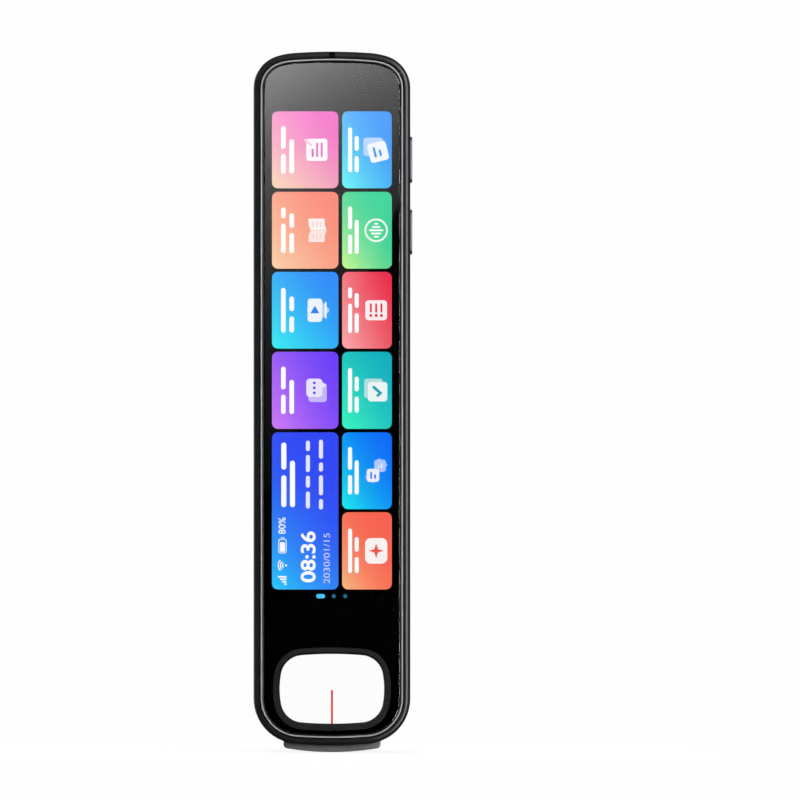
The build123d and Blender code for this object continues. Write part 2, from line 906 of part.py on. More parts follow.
port_back = top_z - port_mouth_drop - port_length

with BuildPart() as usb_receptacle:
    with BuildSketch(Plane.XY.offset(port_back)):
        with Locations((0, port_y)):
            RectangleRounded(port_width, port_height, port_corner_radius)
    extrude(amount=port_length)
    with BuildSketch(Plane.XY.offset(port_back + port_base)):
        with Locations((0, port_y)):
            RectangleRounded(
                port_width - 2 * port_sheet, port_height - 2 * port_sheet, port_corner_radius - port_sheet,
            )
    extrude(amount=port_length, mode=Mode.SUBTRACT)

with BuildPart() as usb_tongue:
    block(
        span(0, port_tongue_width),
        span(port_y, port_tongue_height),
        (port_back + port_base, port_back + port_base + port_tongue_length),
    )
    fillet(usb_tongue.edges().filter_by(Axis.X), port_tongue_edge_radius)

battery_top = board_bottom - battery_gap
battery_z = battery_top - battery_length / 2
battery_x = battery_right - battery_width / 2
battery_back = chassis_back + tape_thickness + battery_thickness
inner_crown_radius = rear_crown_radius - wall
pad_reach = abs(battery_x) + pad_size[0] / 2
pad_edge_drop = inner_crown_radius - math.sqrt(inner_crown_radius**2 - pad_reach**2)
lead_x = board_left + lead_inset
lead_y = board_back + lead_lift
lead_connector_low = board_bottom + lead_connector_rise

with BuildPart() as board_connectors:
    block(
        span(0, display_flex_width + 2 * display_connector_margin),
        (board_front - connector_height, board_front),
        (display_connector_bottom, display_connector_top),
    )
    block(
        span(lead_x, lead_connector_size[0]),
        (board_back, board_back + lead_connector_size[1]),
        (lead_connector_low, lead_connector_low + lead_connector_size[2]),
    )
    block(
        (scan_flex_left - scan_connector_left, board_right),
        (chassis_back + scan_flex_thickness, board_front),
        (board_bottom + scan_connector_rise, board_bottom + flex_on_board),
    )

with BuildPart() as battery:
    block(
        span(battery_x, battery_width),
        (chassis_back + tape_thickness, battery_back),
        span(battery_z, battery_length),
    )
    fillet(battery.edges().filter_by(Axis.Z), battery_edge_radius)

with BuildPart() as battery_tape:
    block(
        span(battery_x, battery_width - 2 * tape_margin),
        (chassis_back, chassis_back + tape_thickness),
        span(battery_z, battery_length - 2 * tape_margin),
    )

with BuildPart() as battery_pad:
    block(
        span(battery_x, pad_size[0]),
        (battery_back, rear_y - wall - pad_edge_drop - pad_clearance),
        span(battery_z, pad_size[1]),
    )

with BuildPart() as battery_lead:
    block(
        span(lead_x, lead_width),
        (lead_y, lead_y + lead_thickness),
        (battery_top, lead_connector_low),
    )

with BuildPart() as wifi_antenna:
    block(
        (-inner_half_width + antenna_gaps[0], board_left - antenna_gaps[1]),
        (chassis_back, chassis_back + antenna_thickness),
        (top_z - antenna_drops[0], top_z - antenna_drops[1]),
    )

# ---- side keys -----------------------------------------------------------------------------

side_mic_z = top_z - side_mic_drop


def side_key(drop, length):
    """Key cap with the flange that keeps it in and the post that meets its switch."""
    z = top_z - drop
    with BuildPart() as key:
        with BuildSketch(Plane.YZ.offset(key_flange_out)):
            with Locations((key_depth_centre, z)):
                SlotOverall(length, key_width, rotation=90)
        extrude(amount=half_width + key_proud - key_flange_out)
        fillet(key.faces().sort_by(Axis.X)[-1].edges(), key_bevel)
        block(
            (key_flange_in, key_flange_out),
            span(key_depth_centre, key_width + 2 * key_flange_side_margin),
            span(z, length + 2 * key_flange_margin),
        )
        block(
            (key_post_in, key_flange_in),
            span(key_depth_centre, key_post_size),
            span(z, key_post_size),
        )
    return key


power_button = side_key(power_key_drop, power_key_length)
function_button = side_key(function_key_drop, function_key_length)

with BuildPart() as key_switches:
    for drop in (power_key_drop, function_key_drop):
        block(
            (switch_back, switch_face),
            span(key_depth_centre, switch_size[0]),
            span(top_z - drop, switch_size[1]),
        )
        cross_pin(
            key_depth_centre, top_z - drop, switch_plunger_radius + bore_clearance,
            switch_face - switch_plunger_in - key_travel - switch_bore_spare, switch_face,
            mode=Mode.SUBTRACT,
        )


def switch_plunger(drop):
    """Round plunger of a key switch, running in the switch body."""
    with BuildPart() as plunger:
        cross_pin(
            key_depth_centre, top_z - drop, switch_plunger_radius,
            switch_face - switch_plunger_in, key_post_in,
        )
    return plunger


power_switch_plunger = switch_plunger(power_key_drop)
function_switch_plunger = switch_plunger(function_key_drop)

key_flex_low = top_z - function_key_drop - switch_size[1] / 2 - key_bracket_margin
key_flex_high = top_z - power_key_drop + switch_size[1] / 2 + key_bracket_margin

with BuildPart() as key_flex:
    block(
        (key_flex_back, switch_back),
        span(key_depth_centre, switch_size[0]),
        (key_flex_low, key_flex_high),
    )

with BuildPart() as key_bracket:
    block(
        (key_flex_back - key_bracket_thickness, key_flex_back),
        (chassis_back, key_depth_centre + switch_size[0] / 2 + key_bracket_past_flex[0]),
        (key_flex_low - key_bracket_past_flex[1], key_flex_high + key_bracket_past_flex[1]),
    )
    block(
        (key_flex_back - key_bracket_foot[0], key_flex_back),
        (chassis_back, chassis_back + key_bracket_thickness),
        span(side_mic_z, key_bracket_foot[1]),
    )

with BuildPart() as side_microphone:
    block(
        (switch_back, switch_back + side_mic_thickness),
        span(key_depth_centre, side_mic_size[0]),
        span(side_mic_z, side_mic_size[1]),
    )

with BuildPart() as side_mic_boot:
    cross_pin(
        key_depth_centre, side_mic_z, mic_boot_radius,
        switch_back + side_mic_thickness, inner_half_width,
    )
    cross_pin(
        key_depth_centre, side_mic_z, side_mic_hole_radius,
        switch_back + side_mic_thickness, inner_half_width, mode=Mode.SUBTRACT,
    )

top_mic_high = top_z - ledge_inset - top_mic_gap

with BuildPart() as top_microphone:
    block(
        span(0, top_mic_size[0]),
        (chassis_front - top_mic_thickness, chassis_front),
        (top_mic_high - top_mic_size[1], top_mic_high),
    )

# ---- scanning window -----------------------------------------------------------------------

with BuildPart() as window_front_ring:
    slab(window_profile(front_ring_width, front_window_z), front_y + front_ring_recess, pane_front)
    slab(window_profile(0, front_window_z), front_y, pane_front, mode=Mode.SUBTRACT)
    chamfer(window_front_ring.faces().sort_by(Axis.Y)[0].inner_wires()[0].edges(), front_ring_bevel)

mark_top = rear_window_z
mark_low = front_window_z - window_half_height - aiming_mark_run

with BuildPart() as window_pane:
    slab(window_profile(pane_lap, front_window_z), pane_front, chassis_front)
    block(
        span(0, aiming_mark_width),
        (chassis_front - aiming_mark_depth, chassis_front),
        (mark_low, mark_top),
        mode=Mode.SUBTRACT,
    )

with BuildPart() as aiming_mark:
    block(
        span(0, aiming_mark_width),
        (chassis_front - aiming_mark_depth, chassis_front),
        (mark_low, mark_top),
    )

with BuildPart() as window_tunnel:
    slab(window_profile(tunnel_grow, rear_window_z), chassis_front, rear_y)
    slab(
        window_profile(tunnel_grow + tunnel_flange, rear_window_z),
        chassis_back, chassis_back + tunnel_flange,
    )
    add(casing_form(tunnel_recess, chassis_front), mode=Mode.INTERSECT)
    slab(window_profile(rear_window_grow, rear_window_z), chassis_front, rear_y, mode=Mode.SUBTRACT)
    upright_pin(
        0, scan_centre_depth, scan_barrel_radius + scan_hole_gap,
        rear_window_z, tunnel_top + cut_over, mode=Mode.SUBTRACT,
    )
    for side in (1, -1):
        block(
            span(side * light_reach, light_slot[0]),
            span(scan_centre_depth, light_slot[1]),
            (rear_window_z, tunnel_top + cut_over),
            mode=Mode.SUBTRACT,
        )

with BuildPart() as window_rear_ring:
    slab(
        window_profile(tunnel_grow + rear_ring_width, rear_window_z - rear_ring_shift),
        rear_y - rear_ring_depth - rear_ring_recess, rear_y,
    )
    add(casing_form(rear_ring_recess, chassis_front), mode=Mode.INTERSECT)
    slab(window_profile(tunnel_grow, rear_window_z), chassis_front, rear_y, mode=Mode.SUBTRACT)

scan_board_high = scan_board_low + scan_board_thickness

with BuildPart() as scan_board:
    block(
        span(0, scan_board_width),
        (chassis_back, chassis_back + scan_board_depth),
        (scan_board_low, scan_board_high),
    )
    upright_pin(
        0, scan_centre_depth, scan_barrel_radius + scan_hole_gap,
        scan_board_low, scan_board_high, mode=Mode.SUBTRACT,
    )

scan_barrel_low = tunnel_top - tunnel_wall - scan_barrel_proud

with BuildPart() as scan_camera:
    block(
        span(0, scan_body_size[0]),
        span(scan_centre_depth, scan_body_size[1]),
        (scan_board_high, scan_board_high + scan_body_size[2]),
    )
    upright_pin(0, scan_centre_depth, scan_barrel_radius, scan_barrel_low, scan_board_high)
    upright_pin(
        0, scan_centre_depth, scan_lens_radius,
        scan_barrel_low, scan_barrel_low + scan_lens_thickness, mode=Mode.SUBTRACT,
    )

with BuildPart() as scan_lens:
    upright_pin(
        0, scan_centre_depth, scan_lens_radius - lens_clearance,
        scan_barrel_low, scan_barrel_low + scan_lens_thickness,
    )
    fillet(scan_lens.edges().group_by(Axis.Z)[0], scan_lens_edge_radius)

with BuildPart() as scan_lights:
    for side in (1, -1):
        block(
            span(side * light_reach, light_size[0]),
            span(scan_centre_depth, light_size[1]),
            (scan_board_low - light_size[2], scan_board_low),
        )

with BuildPart() as light_windows:
    for side in (1, -1):
        block(
            span(side * light_reach, light_slot[0] - 2 * fit_clearance),
            span(scan_centre_depth, light_slot[1] - 2 * fit_clearance),
            (scan_barrel_low, scan_board_low - light_size[2]),
        )

with BuildPart() as scan_flex:
    block(
        (scan_flex_left, scan_flex_left + scan_flex_width),
        (chassis_back, chassis_back + scan_flex_thickness),
        (scan_board_high, board_bottom + flex_on_board),
    )

# ---- sprung tip ----------------------------------------------------------------------------

yoke_top = bottom_z + yoke_rise
yoke_inset = wall + running_clearance
tip_low = bottom_z - tip_proud

with BuildPart() as tip_yoke:
    slab(casing_profile(yoke_inset), yoke_front, yoke_back)
    slab(casing_profile(yoke_inset + yoke_thickness), yoke_front, yoke_back, mode=Mode.SUBTRACT)
    block(span(0, body_width), (yoke_front, yoke_back), (yoke_top, top_z), mode=Mode.SUBTRACT)
    for side in (1, -1):
        tab = side_span(side, yoke_tab_reach, half_width - yoke_inset)
        block(tab, (yoke_front, yoke_back), (yoke_top - yoke_tab_thickness, yoke_top))



def tip_foot_edge(edge):
    """True for the foot's long edges, front and back, that meet what is scanned."""
    low = edge.bounding_box().max.Z < bottom_z
    return low and edge.bounding_box().size.Y < tip_edge_radius


with BuildPart() as scan_tip:
    with BuildSketch(at_depth(tip_back)):
        with BuildLine():
            ThreePointArc(
                (-tip_half_width, tip_low + tip_sag), (0, tip_low), (tip_half_width, tip_low + tip_sag),
            )
            Polyline(
                (tip_half_width, tip_low + tip_sag),
                (tip_half_width, bottom_z + tip_root_height),
                (-tip_half_width, bottom_z + tip_root_height),
                (-tip_half_width, tip_low + tip_sag),
            )
        corners = make_face()
        fillet(corners.vertices().group_by(Axis.Y)[0], tip_corner_radius)
        add(casing_profile(yoke_inset), mode=Mode.SUBTRACT)
    extrude(amount=tip_back - tip_front)
    fillet(scan_tip.edges().filter_by(tip_foot_edge), tip_edge_radius)

tip_switch_x = -tip_switch_inner - tip_switch_size[0] / 2
tip_switch_low = yoke_top + tip_travel + tip_switch_gap
yoke_middle = (yoke_front + yoke_back) / 2

with BuildPart() as tip_switch:
    block(
        span(tip_switch_x, tip_switch_size[0]),
        (chassis_back, yoke_back + tip_switch_past_yoke),
        (tip_switch_low, tip_switch_low + tip_switch_size[1]),
    )
    upright_pin(
        tip_switch_x, yoke_middle, tip_plunger_radius + bore_clearance,
        yoke_top, yoke_top + 2 * tip_travel + tip_plunger_in + tip_bore_spare, mode=Mode.SUBTRACT,
    )

with BuildPart() as tip_switch_plunger:
    upright_pin(
        tip_switch_x, yoke_middle, tip_plunger_radius, yoke_top, tip_switch_low + tip_plunger_in,
    )

with BuildPart() as tip_spring:
    coil_low = yoke_top + spring_wire_radius
    coil_height = spring_length - 2 * spring_wire_radius
    with BuildLine(Plane(origin=(spring_reach, yoke_middle, coil_low))) as coil:
        Helix(pitch=coil_height / spring_turns, height=coil_height, radius=spring_radius)
    with BuildSketch(Plane(origin=coil.line @ 0, z_dir=coil.line % 0)):
        Circle(spring_wire_radius)
    sweep(path=coil.line, is_frenet=True)

# ---- screws --------------------------------------------------------------------------------

with BuildPart() as case_screws:
    head_top = case_screw_seat + case_screw_head
    socket_radius, socket_depth = case_screw_socket
    for x, z in case_screw_spots:
        post(x, z, case_screw_head_radius, case_screw_seat, head_top)
        post(x, z, case_screw_radius, case_screw_seat - case_screw_length, case_screw_seat)
        post(x, z, socket_radius, head_top - socket_depth, head_top, mode=Mode.SUBTRACT)

with BuildPart() as board_screws:
    head_top = board_back + board_screw_head
    socket_radius, socket_depth = board_screw_socket
    for x, z in board_screw_places:
        post(x, z, board_screw_head_radius, board_back, head_top)
        post(x, z, board_screw_radius, board_back - board_screw_length, board_back)
        post(x, z, socket_radius, head_top - socket_depth, head_top, mode=Mode.SUBTRACT)

# ---- export --------------------------------------------------------------------------------

pieces = {
    "front_bezel": front_bezel,
    "display_trim": display_trim,
    "cover_glass": cover_glass,
    "frame_adhesive": frame_adhesive,
    "optical_adhesive": optical_adhesive,
    "display_module": display_module,
    "display_flex": display_flex,
    "inner_chassis": inner_chassis,
    "rear_shell": rear_shell,
    "island_cover": island_cover,
    "speaker_mesh": speaker_mesh,
    "speaker_gasket": speaker_gasket,
    "speaker": speaker,
    "camera_window_trim": camera_window_trim,
    "camera_window": camera_window,
    "lens_ring": lens_ring,
    "lens_cover": lens_cover,
    "rear_camera": rear_camera,
    "camera_lens": camera_lens,
    "main_board": main_board,
    "shield_can": shield_can,
    "processor": processor,
    "memory_chip": memory_chip,
    "usb_receptacle": usb_receptacle,
    "usb_tongue": usb_tongue,
    "board_connectors": board_connectors,
    "battery": battery,
    "battery_tape": battery_tape,
    "battery_pad": battery_pad,
    "battery_lead": battery_lead,
    "wifi_antenna": wifi_antenna,
    "power_button": power_button,
    "function_button": function_button,
    "key_switches": key_switches,
    "power_switch_plunger": power_switch_plunger,
    "function_switch_plunger": function_switch_plunger,
    "key_flex": key_flex,
    "key_bracket": key_bracket,
    "side_microphone": side_microphone,
    "side_mic_boot": side_mic_boot,
    "top_microphone": top_microphone,
    "window_front_ring": window_front_ring,
    "window_pane": window_pane,
    "aiming_mark": aiming_mark,
    "window_tunnel": window_tunnel,
    "window_rear_ring": window_rear_ring,
    "scan_board": scan_board,
    "scan_camera": scan_camera,
    "scan_lens": scan_lens,
    "scan_lights": scan_lights,
    "light_windows": light_windows,
    "scan_flex": scan_flex,
    "scan_tip": scan_tip,
    "tip_yoke": tip_yoke,
    "tip_switch": tip_switch,
    "tip_switch_plunger": tip_switch_plunger,
    "tip_spring": tip_spring,
    "case_screws": case_screws,
    "board_screws": board_screws,
}

os.makedirs("parts", exist_ok=True)
for label, piece in pieces.items():
    piece.part.label = label
    export_step(piece.part, f"parts/{label}.step")
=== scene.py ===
import json
import math

import bmesh
import bpy
from mathutils import Matrix, Vector


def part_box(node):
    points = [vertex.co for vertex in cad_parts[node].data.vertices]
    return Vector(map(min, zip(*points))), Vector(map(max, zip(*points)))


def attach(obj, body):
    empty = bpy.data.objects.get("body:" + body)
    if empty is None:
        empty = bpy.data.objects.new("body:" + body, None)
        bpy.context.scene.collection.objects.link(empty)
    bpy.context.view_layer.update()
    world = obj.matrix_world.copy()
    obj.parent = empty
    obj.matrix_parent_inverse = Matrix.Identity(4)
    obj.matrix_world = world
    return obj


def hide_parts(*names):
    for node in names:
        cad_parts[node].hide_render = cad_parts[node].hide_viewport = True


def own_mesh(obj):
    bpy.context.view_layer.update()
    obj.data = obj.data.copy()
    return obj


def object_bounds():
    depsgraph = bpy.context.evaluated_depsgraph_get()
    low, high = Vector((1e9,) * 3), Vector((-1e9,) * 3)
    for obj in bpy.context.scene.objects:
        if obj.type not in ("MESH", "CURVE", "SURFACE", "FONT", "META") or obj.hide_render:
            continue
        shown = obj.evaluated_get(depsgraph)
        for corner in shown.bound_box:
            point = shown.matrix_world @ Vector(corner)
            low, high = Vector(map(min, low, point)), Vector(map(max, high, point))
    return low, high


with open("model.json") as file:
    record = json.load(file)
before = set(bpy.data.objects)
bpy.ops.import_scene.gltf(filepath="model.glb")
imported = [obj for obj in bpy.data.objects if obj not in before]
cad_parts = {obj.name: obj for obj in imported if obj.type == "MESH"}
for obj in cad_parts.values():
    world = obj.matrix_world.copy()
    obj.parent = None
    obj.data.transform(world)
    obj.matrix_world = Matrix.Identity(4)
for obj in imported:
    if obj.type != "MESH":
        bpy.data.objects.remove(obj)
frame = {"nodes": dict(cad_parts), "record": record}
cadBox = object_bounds()
nodes = frame["nodes"]
scene = bpy.context.scene
mm = 0.001

print("frame loaded:", len(nodes), "parts")


class Wiring:
    # adds nodes to one tree; a value that is a socket is linked, any other is set

    def __init__(self, tree):
        self.tree = tree

    def feed(self, node, sockets):
        for key, value in sockets.items():
            socket = node.inputs[key]
            if isinstance(value, bpy.types.NodeSocket):
                self.tree.links.new(value, socket)
            elif socket.type == "RGBA":
                socket.default_value = (*value, 1.0)
            else:
                socket.default_value = value

    def put(self, kind, sockets=None, family="ShaderNode", **settings):
        node = self.tree.nodes.new(family + kind)
        for name, value in settings.items():
            setattr(node, name, value)
        self.feed(node, sockets or {})
        return node

    def get(self, kind, sockets=None, output=0, **settings):
        return self.put(kind, sockets, **settings).outputs[output]

    def maths(self, operation, first, second=0.0, clamp=False):
        return self.get("Math", {0: first, 1: second}, operation=operation, use_clamp=clamp)

    def plus(self, first, second):
        return self.maths("ADD", first, second)

    def minus(self, first, second):
        return self.maths("SUBTRACT", first, second)

    def times(self, first, second):
        return self.maths("MULTIPLY", first, second)

    def spread(self, value, low, high, toLow=0.0, toHigh=1.0, smooth=False):
        kind = "SMOOTHSTEP" if smooth else "LINEAR"
        sockets = {"Value": value, "From Min": low, "From Max": high, "To Min": toLow, "To Max": toHigh}
        return self.get("MapRange", sockets, interpolation_type=kind)

    def mix(self, factor, first, second, mode="MIX"):
        sockets = {0: factor, 6: first, 7: second}
        return self.get("Mix", sockets, 2, data_type="RGBA", blend_type=mode)

    def grey(self, level):
        return self.get("CombineColor", {0: level, 1: level, 2: level})

    def split(self, vector):
        return self.put("SeparateXYZ", {0: vector}).outputs

    def vector(self, x=0.0, y=0.0, z=0.0):
        return self.get("CombineXYZ", {0: x, 1: y, 2: z})

    def vectorMaths(self, operation, sockets, output=0):
        return self.get("VectorMath", sockets, output, operation=operation)

    def objectPlace(self):
        return self.get("TexCoord", None, "Object")


def link(obj):
    scene.collection.objects.link(obj)
    return obj


def objectOf(name, shape, material):
    # a bmesh becomes an object
    mesh = bpy.data.meshes.new(name)
    shape.to_mesh(mesh)
    shape.free()
    mesh.materials.append(material)
    return link(bpy.data.objects.new(name, mesh))


def onCasing(piece, slot):
    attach(piece, "casing")
    return piece


view = {
    "centre": (14.335, -0.35),  # what the middle of the picture looks at, x and z
    "width": 168.56,  # how much of the front face plane the picture takes in
    "distance": 2500.0,
    "front": -3.3,  # y of that plane
    "sensor": 36.0,
    "clip": (0.05, 12.0),
}


def makeCamera():
    data = bpy.data.cameras.new("frontCamera")
    data.sensor_width = view["sensor"]
    data.lens = view["sensor"] * (view["distance"] + view["front"]) / view["width"]
    data.clip_start, data.clip_end = view["clip"]
    camera = link(bpy.data.objects.new("frontCamera", data))
    across, up = view["centre"]
    camera.location = (across * mm, -view["distance"] * mm, up * mm)
    camera.rotation_euler = (math.radians(90), 0, 0)
    scene.camera = camera


# place, size across and up, power in watts, tint
softboxes = {
    "overheadSoftbox": ((-0.10, -0.16, 0.95), (0.75, 0.62), 8.6, (1.0, 0.995, 0.985)),
    "rightSoftbox": ((0.50, -0.74, 0.05), (0.42, 1.20), 17.0, (1.0, 1.0, 1.0)),
    "rearSoftbox": ((-0.565, 0.67, 0.03), (0.86, 1.10), 15.5, (1.0, 1.0, 1.0)),
    "leftFrontFill": ((-0.17, -1.20, 0.0), (0.10, 0.70), 0.12, (1.0, 1.0, 1.0)),
    "rightFrontFill": ((0.17, -1.20, 0.0), (0.10, 0.70), 0.12, (1.0, 1.0, 1.0)),
    "leftRim": ((-0.54, -0.70, 0.0), (0.40, 1.20), 4.4, (1.0, 1.0, 1.0)),
    "leftStrip": ((-0.92, -0.06, 0.0), (0.14, 1.00), 0.6, (0.98, 0.99, 1.0)),
    "rightStrip": ((0.92, 0.06, 0.0), (0.14, 1.00), 0.5, (0.98, 0.99, 1.0)),
}
rimParts = ("rear_shell", "island_cover")  # the only parts that take the rim light


def makeSoftboxes():
    for name, (place, size, power, tint) in softboxes.items():
        data = bpy.data.lights.new(name, "AREA")
        data.shape = "RECTANGLE"
        data.size, data.size_y = size
        data.energy = power
        data.color = tint
        lamp = link(bpy.data.objects.new(name, data))
        lamp.location = place
        lamp.rotation_euler = Vector(place).to_track_quat("Z", "Y").to_euler()
        lamp.visible_glossy = name != "overheadSoftbox"
        if name == "leftRim":
            group = bpy.data.collections.new("rimParts")
            for part in rimParts:
                group.objects.link(nodes[part])
            lamp.light_linking.receiver_collection = group


studio = {
    "backdrop": (0.985, 0.985, 0.988),
    "throughGlass": (1.05, 1.05, 1.052),  # the same backdrop where a pane takes a little of it
    "surround": 0.03,  # the room in line with the front and the back, which the glass mirrors
    "surroundSide": 0.13,
    "surroundSpan": (0.78, 0.95),  # where the side gives way to it
    "surroundTop": 0.12,
    "topSpan": (0.0, 0.9),
    "floorTone": (0.93, 0.93, 0.932),
    "floorShade": (0.012, 0.012, 0.012),  # what reflections see of the floor further out
    "floorSize": 3.2,
    "floorDrop": 0.00002,
    "floorFade": (0.02, 0.12),
    "floorGlow": 0.85,
    "floorGrain": 600.0,
    "floorRoughness": (0.55, 0.7),
}


def backdropOr(w, other):
    # the pale backdrop for what the camera sees, also through a pane, and another tone for bounced light
    path = w.put("LightPath").outputs
    seen = w.maths("MAXIMUM", path["Is Camera Ray"], path["Is Transmission Ray"])
    bounced = w.plus(path["Diffuse Depth"], path["Glossy Depth"])
    seen = w.times(seen, w.maths("LESS_THAN", bounced, 0.5))
    pale = w.mix(path["Is Camera Ray"], studio["throughGlass"], studio["backdrop"])
    return w.mix(seen, other, pale)


def makeWorld():
    world = bpy.data.worlds.new("studioAir")
    world.use_nodes = True
    world.node_tree.nodes.clear()
    w = Wiring(world.node_tree)
    direction = w.split(w.get("TexCoord", None, "Generated"))
    top = w.spread(direction["Z"], *studio["topSpan"], 0.0, studio["surroundTop"], smooth=True)
    ahead = w.maths("ABSOLUTE", direction["Y"])
    tones = (studio["surroundSide"], studio["surround"])
    room = w.grey(w.plus(top, w.spread(ahead, *studio["surroundSpan"], *tones, smooth=True)))
    air = w.get("Background", {"Color": backdropOr(w, room), "Strength": 1.0})
    w.put("OutputWorld", {"Surface": air})
    scene.world = world


def stageMaterial(name):
    # no lamp of its own, though it glows
    material = bpy.data.materials.new(name)
    material.use_nodes = True
    material.node_tree.nodes.clear()
    material.cycles.emission_sampling = "NONE"
    return material, Wiring(material.node_tree)


def makeFloor():
    material, w = stageMaterial("studioFloor")
    place = w.objectPlace()
    x, y, _ = w.split(place)
    radius = w.vectorMaths("LENGTH", {0: w.vector(x, y)}, "Value")
    fade = w.spread(radius, *studio["floorFade"], studio["floorGlow"], 1.0, smooth=True)
    speck = w.get("TexNoise", {"Vector": place, "Scale": studio["floorGrain"]}, "Fac")
    paper = w.get("BsdfPrincipled", {
        "Base Color": studio["floorTone"], "Roughness": w.spread(speck, 0.3, 0.7, *studio["floorRoughness"]),
        "Specular IOR Level": 0.2,
    })
    glow = w.get("Emission", {"Color": backdropOr(w, studio["floorShade"]), "Strength": 1.0})
    mixed = w.get("MixShader", {0: fade, 1: paper, 2: glow})
    w.put("OutputMaterial", {"Surface": mixed})
    shape = bmesh.new()
    bmesh.ops.create_circle(shape, cap_ends=True, segments=96, radius=studio["floorSize"])
    bmesh.ops.translate(shape, verts=shape.verts, vec=(0, 0, cadBox[0][2] - studio["floorDrop"]))
    floor = objectOf("studio_floor", shape, material)
    floor.visible_glossy = False  # the lower edges stay dark


# the gloss that lies across the glass: a large card far off, seen only in reflections
glossCards = {
    "front": {
        "side": -1,
        "centre": (-17.2, 0.42),
        "strength": 0.0775,
        "slope": 2.21,  # rise over run of the gloss's lower edge
        "edge": 8.6,  # height of that edge where it crosses the centre line
        "softness": 3.0,
        "rise": 0.0586,  # how fast the gloss grows upwards and to the left
        "leftward": 0.051,
        "ease": 0.00031,  # the leftward growth gets weaker by this for each millimetre up
    },
    "rear": {
        "side": 1,
        "centre": (0.0, 0.0),
        "strength": 0.079,
        "slope": 2.31,
        "edge": 38.5,
        "softness": 1.0,
        "rise": 0.037,
        "leftward": 0.0,
        "ease": 0.0,
    },
}
cardLook = {
    "distance": 3000.0,
    "size": (240.0, 420.0),
    "shrink": 2.2,  # the card is seen this much smaller in the glass
    "tint": (0.98, 0.99, 1.0),
}


def makeGlossCard(name, card):
    material, w = stageMaterial(name)
    shift = (-card["centre"][0] * mm, 0, -card["centre"][1] * mm)
    place = w.vectorMaths("ADD", {0: w.objectPlace(), 1: shift})
    across, _, up = w.split(w.vectorMaths("SCALE", {0: place, "Scale": 1 / (mm * cardLook["shrink"])}))
    above = w.minus(w.minus(up, w.times(across, -card["side"] * card["slope"])), card["edge"])
    inside = w.spread(above, 0.0, card["softness"], smooth=True)
    slide = w.minus(card["leftward"], w.times(up, card["ease"]))
    leftward = w.times(w.times(across, card["side"]), slide)
    level = w.maths("EXPONENT", w.plus(w.times(up, card["rise"]), leftward))
    level = w.times(w.times(level, inside), card["strength"])
    glow = w.get("Emission", {"Color": cardLook["tint"], "Strength": level})
    w.put("OutputMaterial", {"Surface": glow})
    width, height = cardLook["size"]
    shape = bmesh.new()
    corners = []
    for x, z in ((-1, -1), (1, -1), (1, 1), (-1, 1)):
        corner = (x * width * mm / 2, card["side"] * cardLook["distance"] * mm, z * height * mm / 2)
        corners.append(shape.verts.new(corner))
    shape.faces.new(corners)
    sheet = objectOf(name, shape, material)
    for ray in ("camera", "diffuse", "transmission", "shadow"):
        setattr(sheet, "visible_" + ray, False)


scene.view_settings.view_transform = "Standard"
makeCamera()
makeSoftboxes()
makeWorld()
makeFloor()
for cardName, cardValues in glossCards.items():
    makeGlossCard(cardName + "_gloss_card", cardValues)
print("studio ready")


# bare edges: the noise that breaks them up, where it sets in, its least share, and how sharp a bend counts
wearLook = {"patch": 2.4, "patchSpan": (0.38, 0.62), "least": 0.25, "bend": (0.985, 0.86)}
noiseSpan = (0.3, 0.7)  # where most of a noise's values lie


class Finish(Wiring):
    # a material with one Principled shader, whose patterns are sized in millimetres

    def __init__(self, name):
        self.material = bpy.data.materials.new(name)
        self.material.use_nodes = True
        super().__init__(self.material.node_tree)
        self.shader = self.tree.nodes["Principled BSDF"]
        self.place = self.stretched(self.objectPlace(), (1 / mm, 1 / mm, 1 / mm))

    def stretched(self, place, scale):
        return self.get("Mapping", {"Vector": place, "Scale": scale})

    def noise(self, size, detail=2.0, stretch=None):
        place = self.stretched(self.place, stretch) if stretch else self.place
        return self.get("TexNoise", {"Vector": place, "Scale": 1 / size, "Detail": detail}, "Fac")

    def cloud(self, size, detail=2.0, low=0.0, high=1.0):
        # soft patches
        return self.spread(self.noise(size, detail), *noiseSpan, low, high)

    def cells(self, size, output="Distance"):
        return self.get("TexVoronoi", {"Vector": self.place, "Scale": 1 / size}, output)

    def waves(self, scale, direction):
        sockets = {"Vector": self.place, "Scale": scale}
        return self.get("TexWave", sockets, "Fac", bands_direction=direction)

    def edges(self, radius, start, full):
        # 1 along the edges, as far in as a rounding of this radius bends the surface
        rounded = self.get("Bevel", {"Radius": radius * mm}, samples=4)
        flat = self.get("NewGeometry", None, "Normal")
        return self.spread(self.vectorMaths("DOT_PRODUCT", {0: rounded, 1: flat}, "Value"), start, full)

    def wear(self, look):
        # along the edges, broken up by a coarse noise
        patches = self.noise(wearLook["patch"], 4.0)
        broken = self.spread(patches, *wearLook["patchSpan"], wearLook["least"], 1.0)
        edge = self.edges(look["wearRadius"], *wearLook["bend"])
        return self.times(self.maths("MULTIPLY", edge, broken, clamp=True), look["wear"])

    def finish(self, sockets, layers):
        # layers of (height, depth in millimetres), coarse first
        for height, depth in layers:
            bump = {"Height": height, "Distance": depth * mm, "Strength": 1.0}
            if "Normal" in sockets:
                bump["Normal"] = sockets["Normal"]
            sockets["Normal"] = self.get("Bump", bump)
        self.feed(self.shader, sockets)
        return self.material


